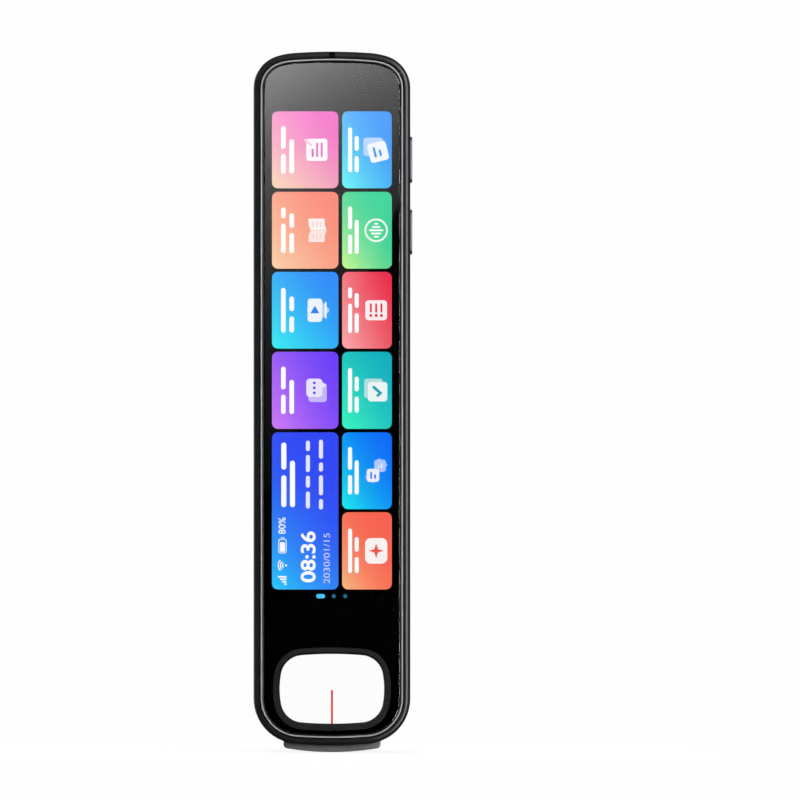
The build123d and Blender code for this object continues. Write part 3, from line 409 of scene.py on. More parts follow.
paintLook = {
    "dark": (0.105, 0.107, 0.128), "light": (0.118, 0.120, 0.142), "worn": (0.30, 0.31, 0.34),
    "toneSize": 16.0, "flakeSize": 0.10, "sparkle": 0.16, "flakeDepth": 0.0012, "flakeHaze": 0.03,
    "wearRadius": 0.30, "wear": 0.35, "wornGloss": 0.10, "roughness": (0.38, 0.42), "hazeSize": 5.0,
    "metallic": 0.85, "coat": 0.08, "coatRoughness": 0.32, "edge": 0.5, "peelSize": 0.55, "peelDepth": 0.0035,
}


def paintedMetal(name, **changes):
    look = dict(paintLook, **changes)
    f = Finish(name)
    colour = f.mix(f.cloud(look["toneSize"], 3.0), look["dark"], look["light"])
    flake = f.get("SeparateColor", {0: f.cells(look["flakeSize"], "Color")})
    sparkle = f.spread(flake, 0.0, 1.0, 1 - look["sparkle"], 1 + look["sparkle"])
    colour = f.mix(1.0, colour, f.grey(sparkle), "MULTIPLY")
    worn = f.wear(look)
    colour = f.mix(worn, colour, look["worn"])
    if "landTone" in look:  # painted shade: the narrow flat beside the trim is painted black along its inner edge, in place of the shade of a groove there
        land = f.spread(f.split(f.place)[1], *look["landDepth"], 1.0, 0.0)
        black = f.times(land, f.edges(look["landWidth"], 0.999, 0.975))
        colour = f.mix(black, colour, look["landTone"])
    haze = f.cloud(look["hazeSize"], 4.0, *look["roughness"])
    rough = f.plus(haze, f.spread(flake, 0.0, 1.0, -look["flakeHaze"], look["flakeHaze"]))
    layers = [(f.noise(look["peelSize"]), look["peelDepth"]), (flake, look["flakeDepth"])]
    if "crown" in look:  # the face rounds off to both sides, as a circle of this radius does
        across = f.split(f.place)[0]
        layers.insert(0, (f.times(f.times(across, across), -0.5 / look["crown"]), 1.0))
    edge = look["edge"]
    return f.finish({
        "Base Color": colour, "Roughness": f.minus(rough, f.times(worn, look["wornGloss"])),
        "Metallic": look["metallic"], "Specular IOR Level": 0.5, "Specular Tint": (edge, edge, edge),
        "Coat Weight": look["coat"], "Coat Roughness": look["coatRoughness"],
    }, layers)


plasticLook = {
    "dark": (0.018, 0.018, 0.020), "light": (0.024, 0.024, 0.026), "worn": (0.09, 0.09, 0.095),
    "toneSize": 5.0, "grainSize": 0.09, "grainDepth": 0.004, "wearRadius": 0.15, "wear": 0.4,
    "wornGloss": 0.12, "roughness": (0.42, 0.52), "metallic": 0.0, "gloss": 0.5,
}


def mouldedPlastic(name, **changes):
    look = dict(plasticLook, **changes)
    f = Finish(name)
    broad = f.cloud(look["toneSize"], 3.0)
    colour = f.mix(broad, look["dark"], look["light"])
    grain = f.noise(look["grainSize"], 3.0)
    colour = f.mix(1.0, colour, f.grey(f.spread(grain, 0.35, 0.65, 0.88, 1.12)), "MULTIPLY")
    worn = f.wear(look)
    colour = f.mix(worn, colour, look["worn"])
    if "rear" in look:  # another paint behind this depth
        behind = f.spread(f.split(f.place)[1], *look["rearSpan"], smooth=True)
        colour = f.mix(behind, colour, f.mix(broad, look["rear"], look["rearLight"]))
    if "seam" in look:  # painted shade: darker where it comes out of the casing, whose lower edge is an arc
        middle, bend, near, far = look["seam"]
        across, _, up = f.split(f.place)
        below = f.minus(f.plus(middle, f.times(f.times(across, across), bend)), up)
        colour = f.mix(f.spread(below, near, far, smooth=True), look["rear"], colour)
    rough = f.cloud(look["toneSize"] / 4, 4.0, *look["roughness"])
    depth = look["grainDepth"]
    return f.finish({
        "Base Color": colour, "Roughness": f.minus(rough, f.times(worn, look["wornGloss"])),
        "Metallic": look["metallic"], "Specular IOR Level": look["gloss"],
    }, [(f.noise(look["grainSize"] * 6), depth), (grain, depth)])


metalLook = {
    "dark": (0.74, 0.74, 0.75), "light": (0.86, 0.86, 0.87), "worn": (0.60, 0.60, 0.62), "stain": 0.2,
    "toneSize": 3.0, "stretch": (1, 1, 1), "lineSize": 0.12, "lineDepth": 0.0006, "roughness": (0.30, 0.36),
    "metallic": 1.0,
}


def brushedMetal(name, **changes):
    look = dict(metalLook, **changes)
    f = Finish(name)
    lines = f.noise(look["lineSize"], 4.0, look["stretch"])
    colour = f.mix(f.spread(lines, *noiseSpan), look["dark"], look["light"])
    stain = f.spread(f.noise(look["toneSize"], 4.0), 0.35, 0.7, 0.0, look["stain"])
    return f.finish({
        "Base Color": f.mix(stain, colour, look["worn"]), "Metallic": look["metallic"],
        "Roughness": f.spread(lines, *noiseSpan, *look["roughness"]),
    }, [(lines, look["lineDepth"])])


def clearGlass(name, **look):
    f = Finish(name)
    return f.finish({
        "Roughness": f.spread(f.noise(look["smudgeSize"], 5.0), 0.45, 0.75, *look["roughness"]),
        "Base Color": f.mix(f.noise(30.0), look["dark"], look["light"]),
        "Transmission Weight": 1.0, "IOR": look["bend"], **look.get("coating", {}),
    }, [(f.noise(9.0), look["ripple"])])


def clearFilm(name, **look):
    f = Finish(name)
    patches = f.cloud(6.0, 3.0)
    return f.finish({
        "Base Color": f.mix(patches, look["dark"], look["light"]), "Alpha": look["cover"],
        "Roughness": f.spread(patches, 0.0, 1.0, 0.12, 0.2), "Specular IOR Level": 0.1,
    }, [(f.noise(0.8), 0.002)])


def softFoam(name, **look):
    f = Finish(name)
    depth = f.spread(f.cells(look["poreSize"]), 0.1, 0.65)
    colour = f.mix(depth, look["light"], look["dark"])
    return f.finish({
        "Base Color": f.mix(f.cloud(4.0, 3.0, 0.0, 0.5), colour, look["dark"]),
        "Roughness": f.cloud(1.0, 2.0, 0.86, 0.98),
        "Specular IOR Level": 0.25, "Sheen Weight": 0.15, "Sheen Roughness": 0.6,
    }, [(f.minus(1.0, depth), look["poreSize"] * 0.4)])


def circuitBoard(name, **look):
    # solder mask over copper runs that turn with each block, with plated dots
    f = Finish(name)
    block = f.get("SeparateColor", {0: f.cells(4.2, "Color")})
    turn = f.maths("GREATER_THAN", block, 0.5)
    runs = {0: turn, 2: f.waves(0.55, "X"), 3: f.waves(0.55, "Z")}
    copper = f.spread(f.get("Mix", runs, data_type="FLOAT"), 0.62, 0.74)
    dots = f.spread(f.cells(1.7), 0.16, 0.12)
    colour = f.mix(dots, f.mix(copper, look["dark"], look["light"]), look["plated"])
    fleck = f.spread(f.noise(0.25), 0.4, 0.6, 0.0, 0.25)
    return f.finish({
        "Base Color": f.mix(fleck, colour, look["dark"]), "Metallic": dots,
        "Roughness": f.spread(copper, 0.0, 1.0, 0.42, 0.3),
    }, [(copper, 0.03), (f.noise(0.12), 0.004)])


def flexFilm(name, **look):
    f = Finish(name)
    copper = f.spread(f.waves(0.9, look["across"]), 0.45, 0.6)
    film = f.mix(f.cloud(3.0, 3.0), look["dark"], look["light"])
    return f.finish({
        "Base Color": f.mix(copper, film, look["copper"]), "Roughness": f.cloud(0.7, 2.0, 0.26, 0.4),
        "Coat Weight": 0.35, "Coat Roughness": 0.12,
    }, [(copper, 0.02), (f.noise(1.4), 0.01)])


def litScreen(name, strength):
    # each shape's own colour comes from its mesh, over a fine grid of picture cells
    f = Finish(name)
    own = f.get("Attribute", None, "Color", attribute_name="shade")
    grid = f.spread(f.times(f.waves(3.4, "Z"), f.waves(3.4, "X")), 0.0, 1.0, 0.97, 1.02)
    glow = f.cloud(5.0, 2.0, 0.985, 1.015)
    f.feed(f.shader, {
        "Emission Color": f.mix(1.0, own, f.grey(f.times(grid, glow)), "MULTIPLY"),
        "Emission Strength": strength, "Base Color": (0.004, 0.004, 0.005), "Specular IOR Level": 0.1,
        "Roughness": f.spread(glow, 0.985, 1.015, 0.3, 0.4),
    })
    f.material.cycles.emission_sampling = "NONE"
    return f.material


finishes = {
    "gunmetal_shell": paintedMetal("gunmetalShell"),
    "gunmetal_frame": paintedMetal(
        "gunmetalFrame", dark=(0.038, 0.0385, 0.041), light=(0.045, 0.0455, 0.048), worn=(0.16, 0.16, 0.17),
        wear=0.2, roughness=(0.36, 0.42), edge=0.15,
        # painted shade along the inner edge of the flat beside the trim
        landTone=(0.003, 0.003, 0.003), landWidth=0.80, landDepth=(-6.294, -6.28),
    ),
    "gunmetal_island": paintedMetal("gunmetalIsland", roughness=(0.37, 0.41), toneSize=9.0, crown=70.0),
    "key_metal": paintedMetal(
        "keyMetal", dark=(0.115, 0.117, 0.138), light=(0.13, 0.132, 0.155), roughness=(0.30, 0.35),
        toneSize=4.0,
    ),
    "trim_metal": brushedMetal("trimMetal"),
    "cover_glass": clearGlass(
        "coverGlass", dark=(0.97, 0.98, 0.98), light=(1, 1, 1), bend=1.5, smudgeSize=14.0,
        roughness=(0.0, 0.015), ripple=0.0004,
    ),
    "clear_pane": clearGlass(
        "clearPane", dark=(0.985, 0.99, 0.99), light=(1, 1, 1), bend=1.45, smudgeSize=6.0,
        roughness=(0.0, 0.008), ripple=0.0002,
    ),
    "lens_glass": clearGlass(
        "lensGlass", dark=(0.88, 0.89, 0.92), light=(0.93, 0.94, 0.96), bend=1.52, smudgeSize=1.5,
        roughness=(0.0, 0.01), ripple=0.0001,
        coating={"Coat Weight": 0.08, "Coat Tint": (0.85, 0.87, 0.97), "Coat Roughness": 0.02},
    ),
    "clear_adhesive": clearFilm(
        "clearAdhesive", dark=(0.10, 0.10, 0.10), light=(0.14, 0.14, 0.14), cover=0.01,
    ),
    "black_adhesive": mouldedPlastic(
        "blackAdhesive", dark=(0.0006, 0.0006, 0.0007), light=(0.0011, 0.0011, 0.0012),
        roughness=(0.6, 0.75), wear=0.0, gloss=0.0,
    ),
    "display": mouldedPlastic(
        "displayPanel", dark=(0.0006, 0.0006, 0.0007), light=(0.0011, 0.0011, 0.0013),
        roughness=(0.55, 0.65), wear=0.0, gloss=0.0, grainDepth=0.001,
    ),
    "flex_circuit": flexFilm(
        "flexCircuit", dark=(0.30, 0.11, 0.02), light=(0.42, 0.17, 0.035), copper=(0.55, 0.26, 0.06),
        across="X",
    ),
    "chassis": mouldedPlastic(
        "castChassis", dark=(0.30, 0.305, 0.315), light=(0.40, 0.405, 0.415), worn=(0.62, 0.63, 0.64),
        metallic=0.9, roughness=(0.38, 0.52), grainSize=0.16, grainDepth=0.008,
    ),
    "mesh_steel": brushedMetal(
        "meshSteel", dark=(0.022, 0.022, 0.024), light=(0.045, 0.045, 0.05), roughness=(0.35, 0.45),
    ),
    "foam": softFoam("closedFoam", dark=(0.012, 0.012, 0.014), light=(0.045, 0.045, 0.050), poreSize=0.22),
    "speaker_black": mouldedPlastic("speakerBlack"),
    "red_trim": brushedMetal(
        "redTrim", dark=(0.42, 0.006, 0.014), light=(0.66, 0.014, 0.030), worn=(0.30, 0.0, 0.008),
        metallic=0.55, roughness=(0.22, 0.32),
    ),
    "camera_glass": mouldedPlastic(
        "cameraGlass", dark=(0.0030, 0.0030, 0.0034), light=(0.0045, 0.0045, 0.005), worn=(0.05, 0.05, 0.055),
        roughness=(0.0, 0.012), wear=0.2, grainDepth=0.00004,
    ),
    "silver_ring": brushedMetal(
        "silverRing", dark=(0.40, 0.40, 0.41), light=(0.50, 0.50, 0.51), worn=(0.34, 0.34, 0.35),
        metallic=0.6, roughness=(0.36, 0.46), lineSize=0.05, lineDepth=0.001,
    ),
    "camera_body": mouldedPlastic("cameraBody", roughness=(0.38, 0.48)),
    "board_green": circuitBoard(
        "boardGreen", dark=(0.008, 0.060, 0.026), light=(0.020, 0.130, 0.055), plated=(0.80, 0.52, 0.16),
    ),
    "tin_steel": brushedMetal(
        "tinSteel", dark=(0.50, 0.50, 0.48), light=(0.66, 0.66, 0.64), worn=(0.40, 0.40, 0.38),
        stretch=(1, 1, 0.06), roughness=(0.24, 0.38), lineDepth=0.002,
    ),
    "chip_black": mouldedPlastic("chipBlack", roughness=(0.5, 0.62), grainSize=0.06),
    "connector_cream": mouldedPlastic(
        "connectorCream", dark=(0.50, 0.45, 0.34), light=(0.58, 0.53, 0.42), worn=(0.72, 0.68, 0.58),
    ),
    "battery_foil": brushedMetal(
        "batteryFoil", dark=(0.46, 0.47, 0.48), light=(0.60, 0.61, 0.62), worn=(0.38, 0.38, 0.40),
        toneSize=12.0, stretch=(0.4, 1, 1), lineSize=1.8, lineDepth=0.02, roughness=(0.22, 0.40),
    ),
    "ring_black": mouldedPlastic(
        "ringBlack", dark=(0.0065, 0.0065, 0.007), light=(0.010, 0.010, 0.0105), worn=(0.03, 0.03, 0.032),
        roughness=(0.28, 0.36), grainDepth=0.0008, gloss=0.25,
    ),
    "red_mark": mouldedPlastic(
        "redMark", dark=(0.74, 0.012, 0.018), light=(0.86, 0.020, 0.026), worn=(0.6, 0.06, 0.06),
        roughness=(0.4, 0.5), gloss=0.2,
    ),
    "tunnel_black": mouldedPlastic(
        "tunnelBlack", dark=(0.020, 0.020, 0.023), light=(0.028, 0.028, 0.032), roughness=(0.48, 0.6),
        grainSize=0.14,
    ),
    "light_white": mouldedPlastic(
        "lightWhite", dark=(0.74, 0.74, 0.70), light=(0.84, 0.84, 0.80), worn=(0.9, 0.9, 0.88),
        roughness=(0.3, 0.4),
    ),
    "tip_grey": mouldedPlastic(
        "tipGrey", dark=(0.19, 0.19, 0.195), light=(0.23, 0.23, 0.236), worn=(0.32, 0.32, 0.33),
        roughness=(0.36, 0.46), grainSize=0.12, wearRadius=0.35, wear=0.25, rear=(0.010, 0.010, 0.011),
        # painted shade where the tip comes out of the casing
        rearLight=(0.015, 0.015, 0.016), rearSpan=(0.45, 0.75), seam=(-73.0, 0.0092, 0.10, 0.26),
    ),
    "spring_steel": brushedMetal(
        "springSteel", dark=(0.50, 0.50, 0.52), light=(0.66, 0.66, 0.68), lineSize=0.06,
        roughness=(0.22, 0.34),
    ),
    "screw_black": brushedMetal(
        "screwBlack", dark=(0.035, 0.035, 0.040), light=(0.065, 0.065, 0.070), worn=(0.16, 0.15, 0.14),
        roughness=(0.3, 0.42),
    ),
}

nodes["window_pane"].visible_shadow = False  # lamps reach the mark in the pane
for row in frame["record"]["subparts"]:
    materials = nodes[row["node"]].data.materials
    materials.clear()
    materials.append(finishes[row["material_slot"]])
print("finishes on", len(nodes), "parts")

screen = {
    "panelFront": -5.45,  # y of the display's face
    "layer": 0.012,  # the step from one thin shape to the next
    "gap": 0.003,  # between a shape and what lies behind it
    "brightness": 1.06,
    "tileRadius": 1.27,
    "tileCuts": 12,  # lines across a tile's tint
    "iconSize": 1.17,
    "iconAt": {"left": 0.675, "right": 0.685},  # share of the tile's width
    "inkDarkening": 0.12,  # how much darker than their tile the strokes on the drawings are
    "figureDepth": 0.7,  # share of a layer
}
screenLight = litScreen("screenLight", screen["brightness"])

# columns and rows as spans in x and z
columns = {"left": (-12.62, 1.37), "right": (2.16, 12.61)}
rowSpans = [(44.21, 60.41), (27.29, 43.47), (10.47, 26.62), (-6.43, 9.80), (-23.33, -7.16), (-40.23, -23.97)]

# place, colour at the upper right and lower left, how soon the first takes over, lean of the tint
tiles = {
    "page": ("left", rowSpans[0], (238, 96, 194), (250, 216, 179), 1.8, 0.4),
    "cards": ("right", rowSpans[0], (41, 146, 246), (103, 252, 249), 2.2, 0.5),
    "book": ("left", rowSpans[1], (252, 135, 115), (252, 210, 170), 1.8, 0.5),
    "sound": ("right", rowSpans[1], (50, 214, 155), (203, 255, 144), 3.0, 0.5),
    "play": ("left", rowSpans[2], (38, 138, 251), (52, 241, 245), 1.8, 0.5),
    "list": ("right", rowSpans[2], (240, 42, 77), (255, 172, 175), 1.8, 0.6),
    "chat": ("left", rowSpans[3], (106, 62, 250), (209, 123, 251), 1.8, 0.6),
    "check": ("right", rowSpans[3], (8, 177, 195), (57, 252, 196), 1.8, 0.5),
    "clock": ("left", (-40.23, -7.16), (48, 71, 248), (40, 203, 254), 3.3, 0.3),
    "voices": ("right", rowSpans[4], (0, 110, 253), (22, 240, 241), 2.2, 0.5),
    "star": ("right", rowSpans[5], (254, 99, 81), (253, 191, 137), 3.0, 0.5),
}


def lit(colour):
    # screen colours are given as 0 to 255
    out = []
    for part in colour:
        part = part / 255
        out.append(part / 12.92 if part <= 0.04045 else ((part + 0.055) / 1.055) ** 2.4)
    return Vector(out + [1.0])


white = lit((255, 255, 255))


def turned(points, degrees, shift=(0, 0)):
    cos = math.cos(math.radians(degrees))
    sin = math.sin(math.radians(degrees))
    return [(x * cos - y * sin + shift[0], x * sin + y * cos + shift[1]) for x, y in points]


def around(reach, degrees):
    angle = math.radians(degrees)
    return reach * math.cos(angle), reach * math.sin(angle)


def card(width, height, radius, degrees=0, shift=(0, 0), steps=8):
    points = []
    for cornerX, cornerY, start in ((1, 1, 0), (-1, 1, 90), (-1, -1, 180), (1, -1, 270)):
        for step in range(steps + 1):
            x, y = around(radius, start + 90 * step / steps)
            points.append((cornerX * (width / 2 - radius) + x, cornerY * (height / 2 - radius) + y))
    return turned(points, degrees, shift)


def box(left, low, right, high, radius=0.0):
    if radius:
        return card(right - left, high - low, radius, 0, ((left + right) / 2, (low + high) / 2))
    return [(left, low), (right, low), (right, high), (left, high)]


def disc(radius, steps, shift=(0, 0)):
    return turned([around(radius, 360 * n / steps) for n in range(steps)], 0, shift)


def arcBand(radius, width, start, end, steps=20):
    # its outer and inner outline
    angles = [start + (end - start) * step / steps for step in range(steps + 1)]
    reaches = (radius + width / 2, radius - width / 2)
    return tuple([around(reach, angle) for angle in angles] for reach in reaches)


def areaOf(points):
    # twice the area, below 0 where the points run clockwise
    return sum(a[0] * b[1] - b[0] * a[1] for a, b in zip(points, points[1:] + points[:1]))


def cutAcross(shape, place, facing, near=1e-7):
    every = shape.verts[:] + shape.edges[:] + shape.faces[:]
    return bmesh.ops.bisect_plane(shape, geom=every, dist=near, plane_co=place, plane_no=facing)


def thicken(shape, depth):
    # gives flat faces a back
    made = bmesh.ops.extrude_face_region(shape, geom=shape.faces[:])
    moved = [v for v in made["geom"] if isinstance(v, bmesh.types.BMVert)]
    bmesh.ops.translate(shape, verts=moved, vec=(0, depth * mm, 0))
    bmesh.ops.recalc_face_normals(shape, faces=shape.faces)


def layerAt(level):
    # y of the back of a layer
    return screen["panelFront"] - level * screen["layer"]


class ThinShapes:
    # flat shapes of one thickness, each point with its own colour, gathered into one mesh

    def __init__(self):
        self.mesh = bmesh.new()
        self.shade = self.mesh.loops.layers.float_color.new("shade")

    def paint(self, face, colours):
        for loop, colour in zip(face.loops, colours):
            loop[self.shade] = colour

    def add(self, points, level, colour):
        # points are x and z; colour is one colour or a function of a point
        back = layerAt(level)
        colours = [colour(point) if callable(colour) else colour for point in points]
        if areaOf(points) < 0:
            points = points[::-1]
            colours = colours[::-1]
        near = [self.mesh.verts.new((x * mm, (back - screen["layer"]) * mm, z * mm)) for x, z in points]
        far = [self.mesh.verts.new((x * mm, (back - screen["gap"]) * mm, z * mm)) for x, z in points]
        self.paint(self.mesh.faces.new(near), colours)
        self.paint(self.mesh.faces.new(far[::-1]), colours[::-1])
        count = len(points)
        for n in range(count):
            after = (n + 1) % count
            face = self.mesh.faces.new((near[after], near[n], far[n], far[after]))
            self.paint(face, (colours[after], colours[n], colours[n], colours[after]))

    def addBand(self, outer, inner, level, colour):
        # a ring or an open band between two outlines of equal length
        for n in range(len(outer) - 1):
            self.add([outer[n], outer[n + 1], inner[n + 1], inner[n]], level, colour)

    def finish(self, name):
        onCasing(objectOf(name, self.mesh, screenLight), "display")


def tileTint(tile):
    side, (low, high), upper, lower, bend, lean = tile
    left, right = columns[side]
    upper = lit(upper)
    lower = lit(lower)

    def tint(point):
        across = (point[0] - left) / (right - left)
        up = (point[1] - low) / (high - low)
        share = min(1.0, max(0.0, lean * across + (1 - lean) * up))
        return lower.lerp(upper, 1 - (1 - share) ** bend)

    return tint


def makeTile(name, tile):
    side, (low, high), *_, lean = tile
    left, right = columns[side]
    tint = tileTint(tile)
    shapes = ThinShapes()
    width = right - left
    height = high - low
    shapes.add(box(left, low, right, high, screen["tileRadius"]), 0, tint)
    for cut in range(1, screen["tileCuts"]):
        share = cut / screen["tileCuts"]
        spot = ((left + width * share) * mm, 0, (low + height * share) * mm)
        cutAcross(shapes.mesh, spot, (lean / width, 0, (1 - lean) / height))
    for face in shapes.mesh.faces:
        shapes.paint(face, [tint((loop.vert.co.x / mm, loop.vert.co.z / mm)) for loop in face.loops])
    shapes.finish("tile_" + name)


def bookDrawing():
    rows = []
    for side in (-1, 1):
        leaf = [(0, -1.75), (0.9, -1.45), (2.1, -1.35), (2.1, 1.5), (0.9, 1.45), (0, 1.1)]
        rows.append(([(side * u, v) for u, v in leaf], 1, pale if side > 0 else 0.28))
        for height in (0.65, 0.0, -0.65):
            bar = box(0.55, height - 0.13, 1.6, height + 0.13, 0.12)
            rows.append(([(side * u, v) for u, v in bar], 2, ghost))
    return rows + [(box(-0.07, -1.8, 0.07, 1.1), 2, ghost)]


def listDrawing():
    rows = [(card(3.6, 3.9, 0.6), 1, pale)]
    for height in (0.95, 0.0, -0.95):
        rows.append((disc(0.27, 20, (-0.95, height)), 2, "ink"))
        rows.append((box(-0.4, height - 0.17, 1.25, height + 0.17, 0.16), 2, "ink"))
    return rows


def soundDrawing():
    rows = [(arcBand(1.95, 0.34, 0, 360, 40), 1, pale)]
    for number, height in enumerate((0.55, 1.15, 1.6, 0.95, 0.45)):
        centre = (number - 2) * 0.58
        rows.append((box(centre - 0.16, -height / 1.25, centre + 0.16, height / 1.25, 0.15), 1, 0.0))
    return rows


# each drawing as outlines or bands, their layer, and how far their white leans to the tile's colour
pale = 0.12
ghost = 0.55
drawings = {
    "page": [
        (box(-2.0, -1.9, 2.0, 1.9, 0.5), 1, pale),
        (box(-1.3, 0.55, 0.2, 0.95, 0.18), 2, "ink"),
        (box(-1.3, -0.25, 1.3, 0.10, 0.16), 2, "ink"),
        (box(-1.3, -1.05, 1.3, -0.70, 0.16), 2, "ink"),
        (turned(box(-0.22, -0.9, 0.22, 0.9, 0.2), -40, (1.35, 1.55)), 2, ghost),
    ],
    "cards": [
        (card(3.3, 3.5, 0.55, 0, (0.55, 0.55)), 1, ghost),
        (card(3.5, 3.4, 0.55, 14, (-0.35, -0.35)), 2, pale),
        (turned(box(-0.95, -0.2, 0.95, 0.2, 0.19), 14, (-0.45, 0.25)), 3, "ink"),
        (turned(box(-0.6, -0.2, 0.6, 0.2, 0.19), 14, (-0.55, -0.75)), 3, "ink"),
    ],
    "book": bookDrawing(),
    "sound": soundDrawing(),
    "play": [
        (card(3.1, 3.1, 0.5, 45, (0.0, -0.25)), 1, ghost),
        (box(-2.1, -0.95, 2.1, 1.65, 0.5), 2, pale),
        ([(-0.55, -0.45), (0.85, 0.35), (-0.55, 1.15)], 3, "ink"),
        (box(-1.5, -1.75, 1.5, -1.45, 0.14), 2, 0.0),
    ],
    "list": listDrawing(),
    "chat": [
        (box(-2.1, -1.8, 1.3, 1.5, 0.55), 1, ghost),
        (box(-1.2, -1.0, 2.1, 1.9, 0.65), 2, 0.22),
        ([(0.9, -1.75), (1.55, -0.9), (0.3, -0.9)], 2, 0.22),
        (disc(0.25, 20, (-0.45, 0.45)), 3, "ink"),
        (disc(0.25, 20, (0.45, 0.45)), 3, "ink"),
        (disc(0.25, 20, (1.35, 0.45)), 3, "ink"),
    ],
    "check": [
        (card(3.5, 3.3, 0.5, 0, (0.35, 0.5)), 1, ghost),
        (card(3.5, 3.5, 0.55, 0, (-0.25, -0.25)), 2, pale),
        ([(-1.25, -0.3), (-0.9, 0.05), (-0.5, -0.4), (0.5, 0.75), (0.9, 0.4), (-0.48, -1.15)], 3, "ink"),
    ],
    "voices": [
        (arcBand(2.15, 0.2, 115, 170), 1, ghost),
        (arcBand(2.15, 0.2, 295, 350), 1, ghost),
        (box(-0.2, -1.75, 2.0, 0.35, 0.5), 1, ghost),
        (box(0.45, -1.1, 1.35, -0.85, 0.12), 2, pale),
        (box(0.45, -0.6, 1.0, -0.35, 0.12), 2, pale),
        (box(-2.0, -0.55, 0.35, 1.7, 0.5), 2, pale),
        (box(-1.45, 0.75, -0.2, 1.05, 0.14), 3, "ink"),
        (box(-1.45, 0.05, -0.65, 0.35, 0.14), 3, "ink"),
    ],
    "star": [
        (card(4.6, 4.0, 1.0), 1, 0.08),
        ([around(reach, 45 * n) for n, reach in enumerate([1.35, 0.46] * 4)], 2, "ink"),
    ],
}


def onScreen(centre, size=1.0):
    # drawings stand on their side: their up is -X and they read along +Z
    def place(points):
        return [(centre[0] - v * size, centre[1] + u * size) for u, v in points]

    return place


def makeIcon(name, tile):
    side, (low, high), upper = tile[:3]
    left, right = columns[side]
    centre = (left + (right - left) * screen["iconAt"][side], (low + high) / 2)
    place = onScreen(centre, screen["iconSize"])
    tint = tileTint(tile)(centre)
    ink = lit(upper).lerp(lit((0, 0, 0)), screen["inkDarkening"])
    shapes = ThinShapes()
    for outline, level, share in drawings[name]:
        colour = ink if share == "ink" else white.lerp(tint, share)
        if isinstance(outline, tuple):
            outer, inner = outline
            shapes.addBand(place(outer), place(inner), level, colour)
        else:
            shapes.add(place(outline), level, colour)
    shapes.finish("icon_" + name)


# the large tile's small signs, and the dots under the tiles
signLook = {
    "row": -10.4,
    "bars": -39.3,
    "arcs": -35.15,
    "battery": -31.1,
    "batteryTint": (60, 150, 250),
    "dots": -41.64,
    "firstDot": (58, 196, 250),
    "otherDots": (38, 104, 140),
}


def makeSigns():
    shapes = ThinShapes()
    row = signLook["row"]
    place = onScreen((row, signLook["bars"]))
    for number in range(4):
        start = number * 0.52
        shapes.add(place(box(start, -0.85, start + 0.34, -0.85 + 0.45 * (number + 1), 0.1)), 1, white)
    place = onScreen((row + 0.75, signLook["arcs"]))
    shapes.add(place(disc(0.22, 18)), 1, white)
    for reach in (0.72, 1.18, 1.64):
        outer, inner = arcBand(reach, 0.23, 48, 132)
        shapes.addBand(place(outer), place(inner), 1, white)
    place = onScreen((row, signLook["battery"]))
    soft = white.lerp(lit(signLook["batteryTint"]), 0.25)
    outer = card(3.1, 1.75, 0.5)
    inner = card(2.7, 1.35, 0.35)
    shapes.addBand(place(outer + outer[:1]), place(inner + inner[:1]), 1, soft)
    shapes.add(place(box(-1.2, -0.52, 0.8, 0.52, 0.2)), 1, white)
    shapes.add(place(box(1.65, -0.34, 1.87, 0.34, 0.08)), 1, soft)
    shapes.finish("status_signs")
    dots = ThinShapes()
    height = signLook["dots"]
    dots.add(card(1.85, 0.92, 0.45, 0, (-2.37, height)), 0, lit(signLook["firstDot"]))
    for across in (0.40, 2.80):
        dots.add(disc(0.42, 24, (across, height)), 0, lit(signLook["otherDots"]))
    dots.finish("page_dots")


# text, span along z, top and foot in x, how bold, how far its white leans to the words' tint
figureLook = {
    "clock_figures": ("08:36", (-38.75, -28.0), (-6.60, -3.42), 0.022, 0.0),
    "charge_figures": ("80%", (-28.55, -25.05), (-11.25, -9.75), 0.006, 0.0),
    "date_figures": ("2030/01/15", (-38.95, -28.4), (-1.75, -0.42), 0.0, 0.4),
}
wordTint = (60, 110, 250)


def plainMesh(obj):
    bpy.context.view_layer.update()
    return bpy.data.meshes.new_from_object(obj.evaluated_get(bpy.context.evaluated_depsgraph_get()))


def makeFigures(name, text, span, rows, bold, share):
    data = bpy.data.curves.new(name, "FONT")
    data.body = text
    data.size = 1.0
    data.offset = bold
    data.resolution_u = 6
    words = link(bpy.data.objects.new(name, data))
    mesh = plainMesh(words)
    bpy.data.objects.remove(words)
    shape = bmesh.new()
    shape.from_mesh(mesh)
    bpy.data.meshes.remove(mesh)
    bmesh.ops.remove_doubles(shape, verts=shape.verts, dist=1e-5)
    bmesh.ops.delete(shape, geom=[v for v in shape.verts if not v.link_faces], context="VERTS")
    xs = [v.co.x for v in shape.verts]
    ys = [v.co.y for v in shape.verts]
    top, foot = rows
    start, end = span
    front = layerAt(3) * mm
    for vert in shape.verts:
        along = (vert.co.x - min(xs)) / (max(xs) - min(xs))
        up = (vert.co.y - min(ys)) / (max(ys) - min(ys))
        vert.co = Vector(((foot + (top - foot) * up) * mm, front, (start + (end - start) * along) * mm))
    for face in shape.faces:
        face.normal_update()
        if face.normal.y > 0:
            face.normal_flip()
    thicken(shape, screen["layer"] * screen["figureDepth"])
    shade = shape.loops.layers.float_color.new("shade")
    tone = white.lerp(lit(wordTint), share)
    for face in shape.faces:
        for loop in face.loops:
            loop[shade] = tone
    onCasing(objectOf(name, shape, screenLight), "display")


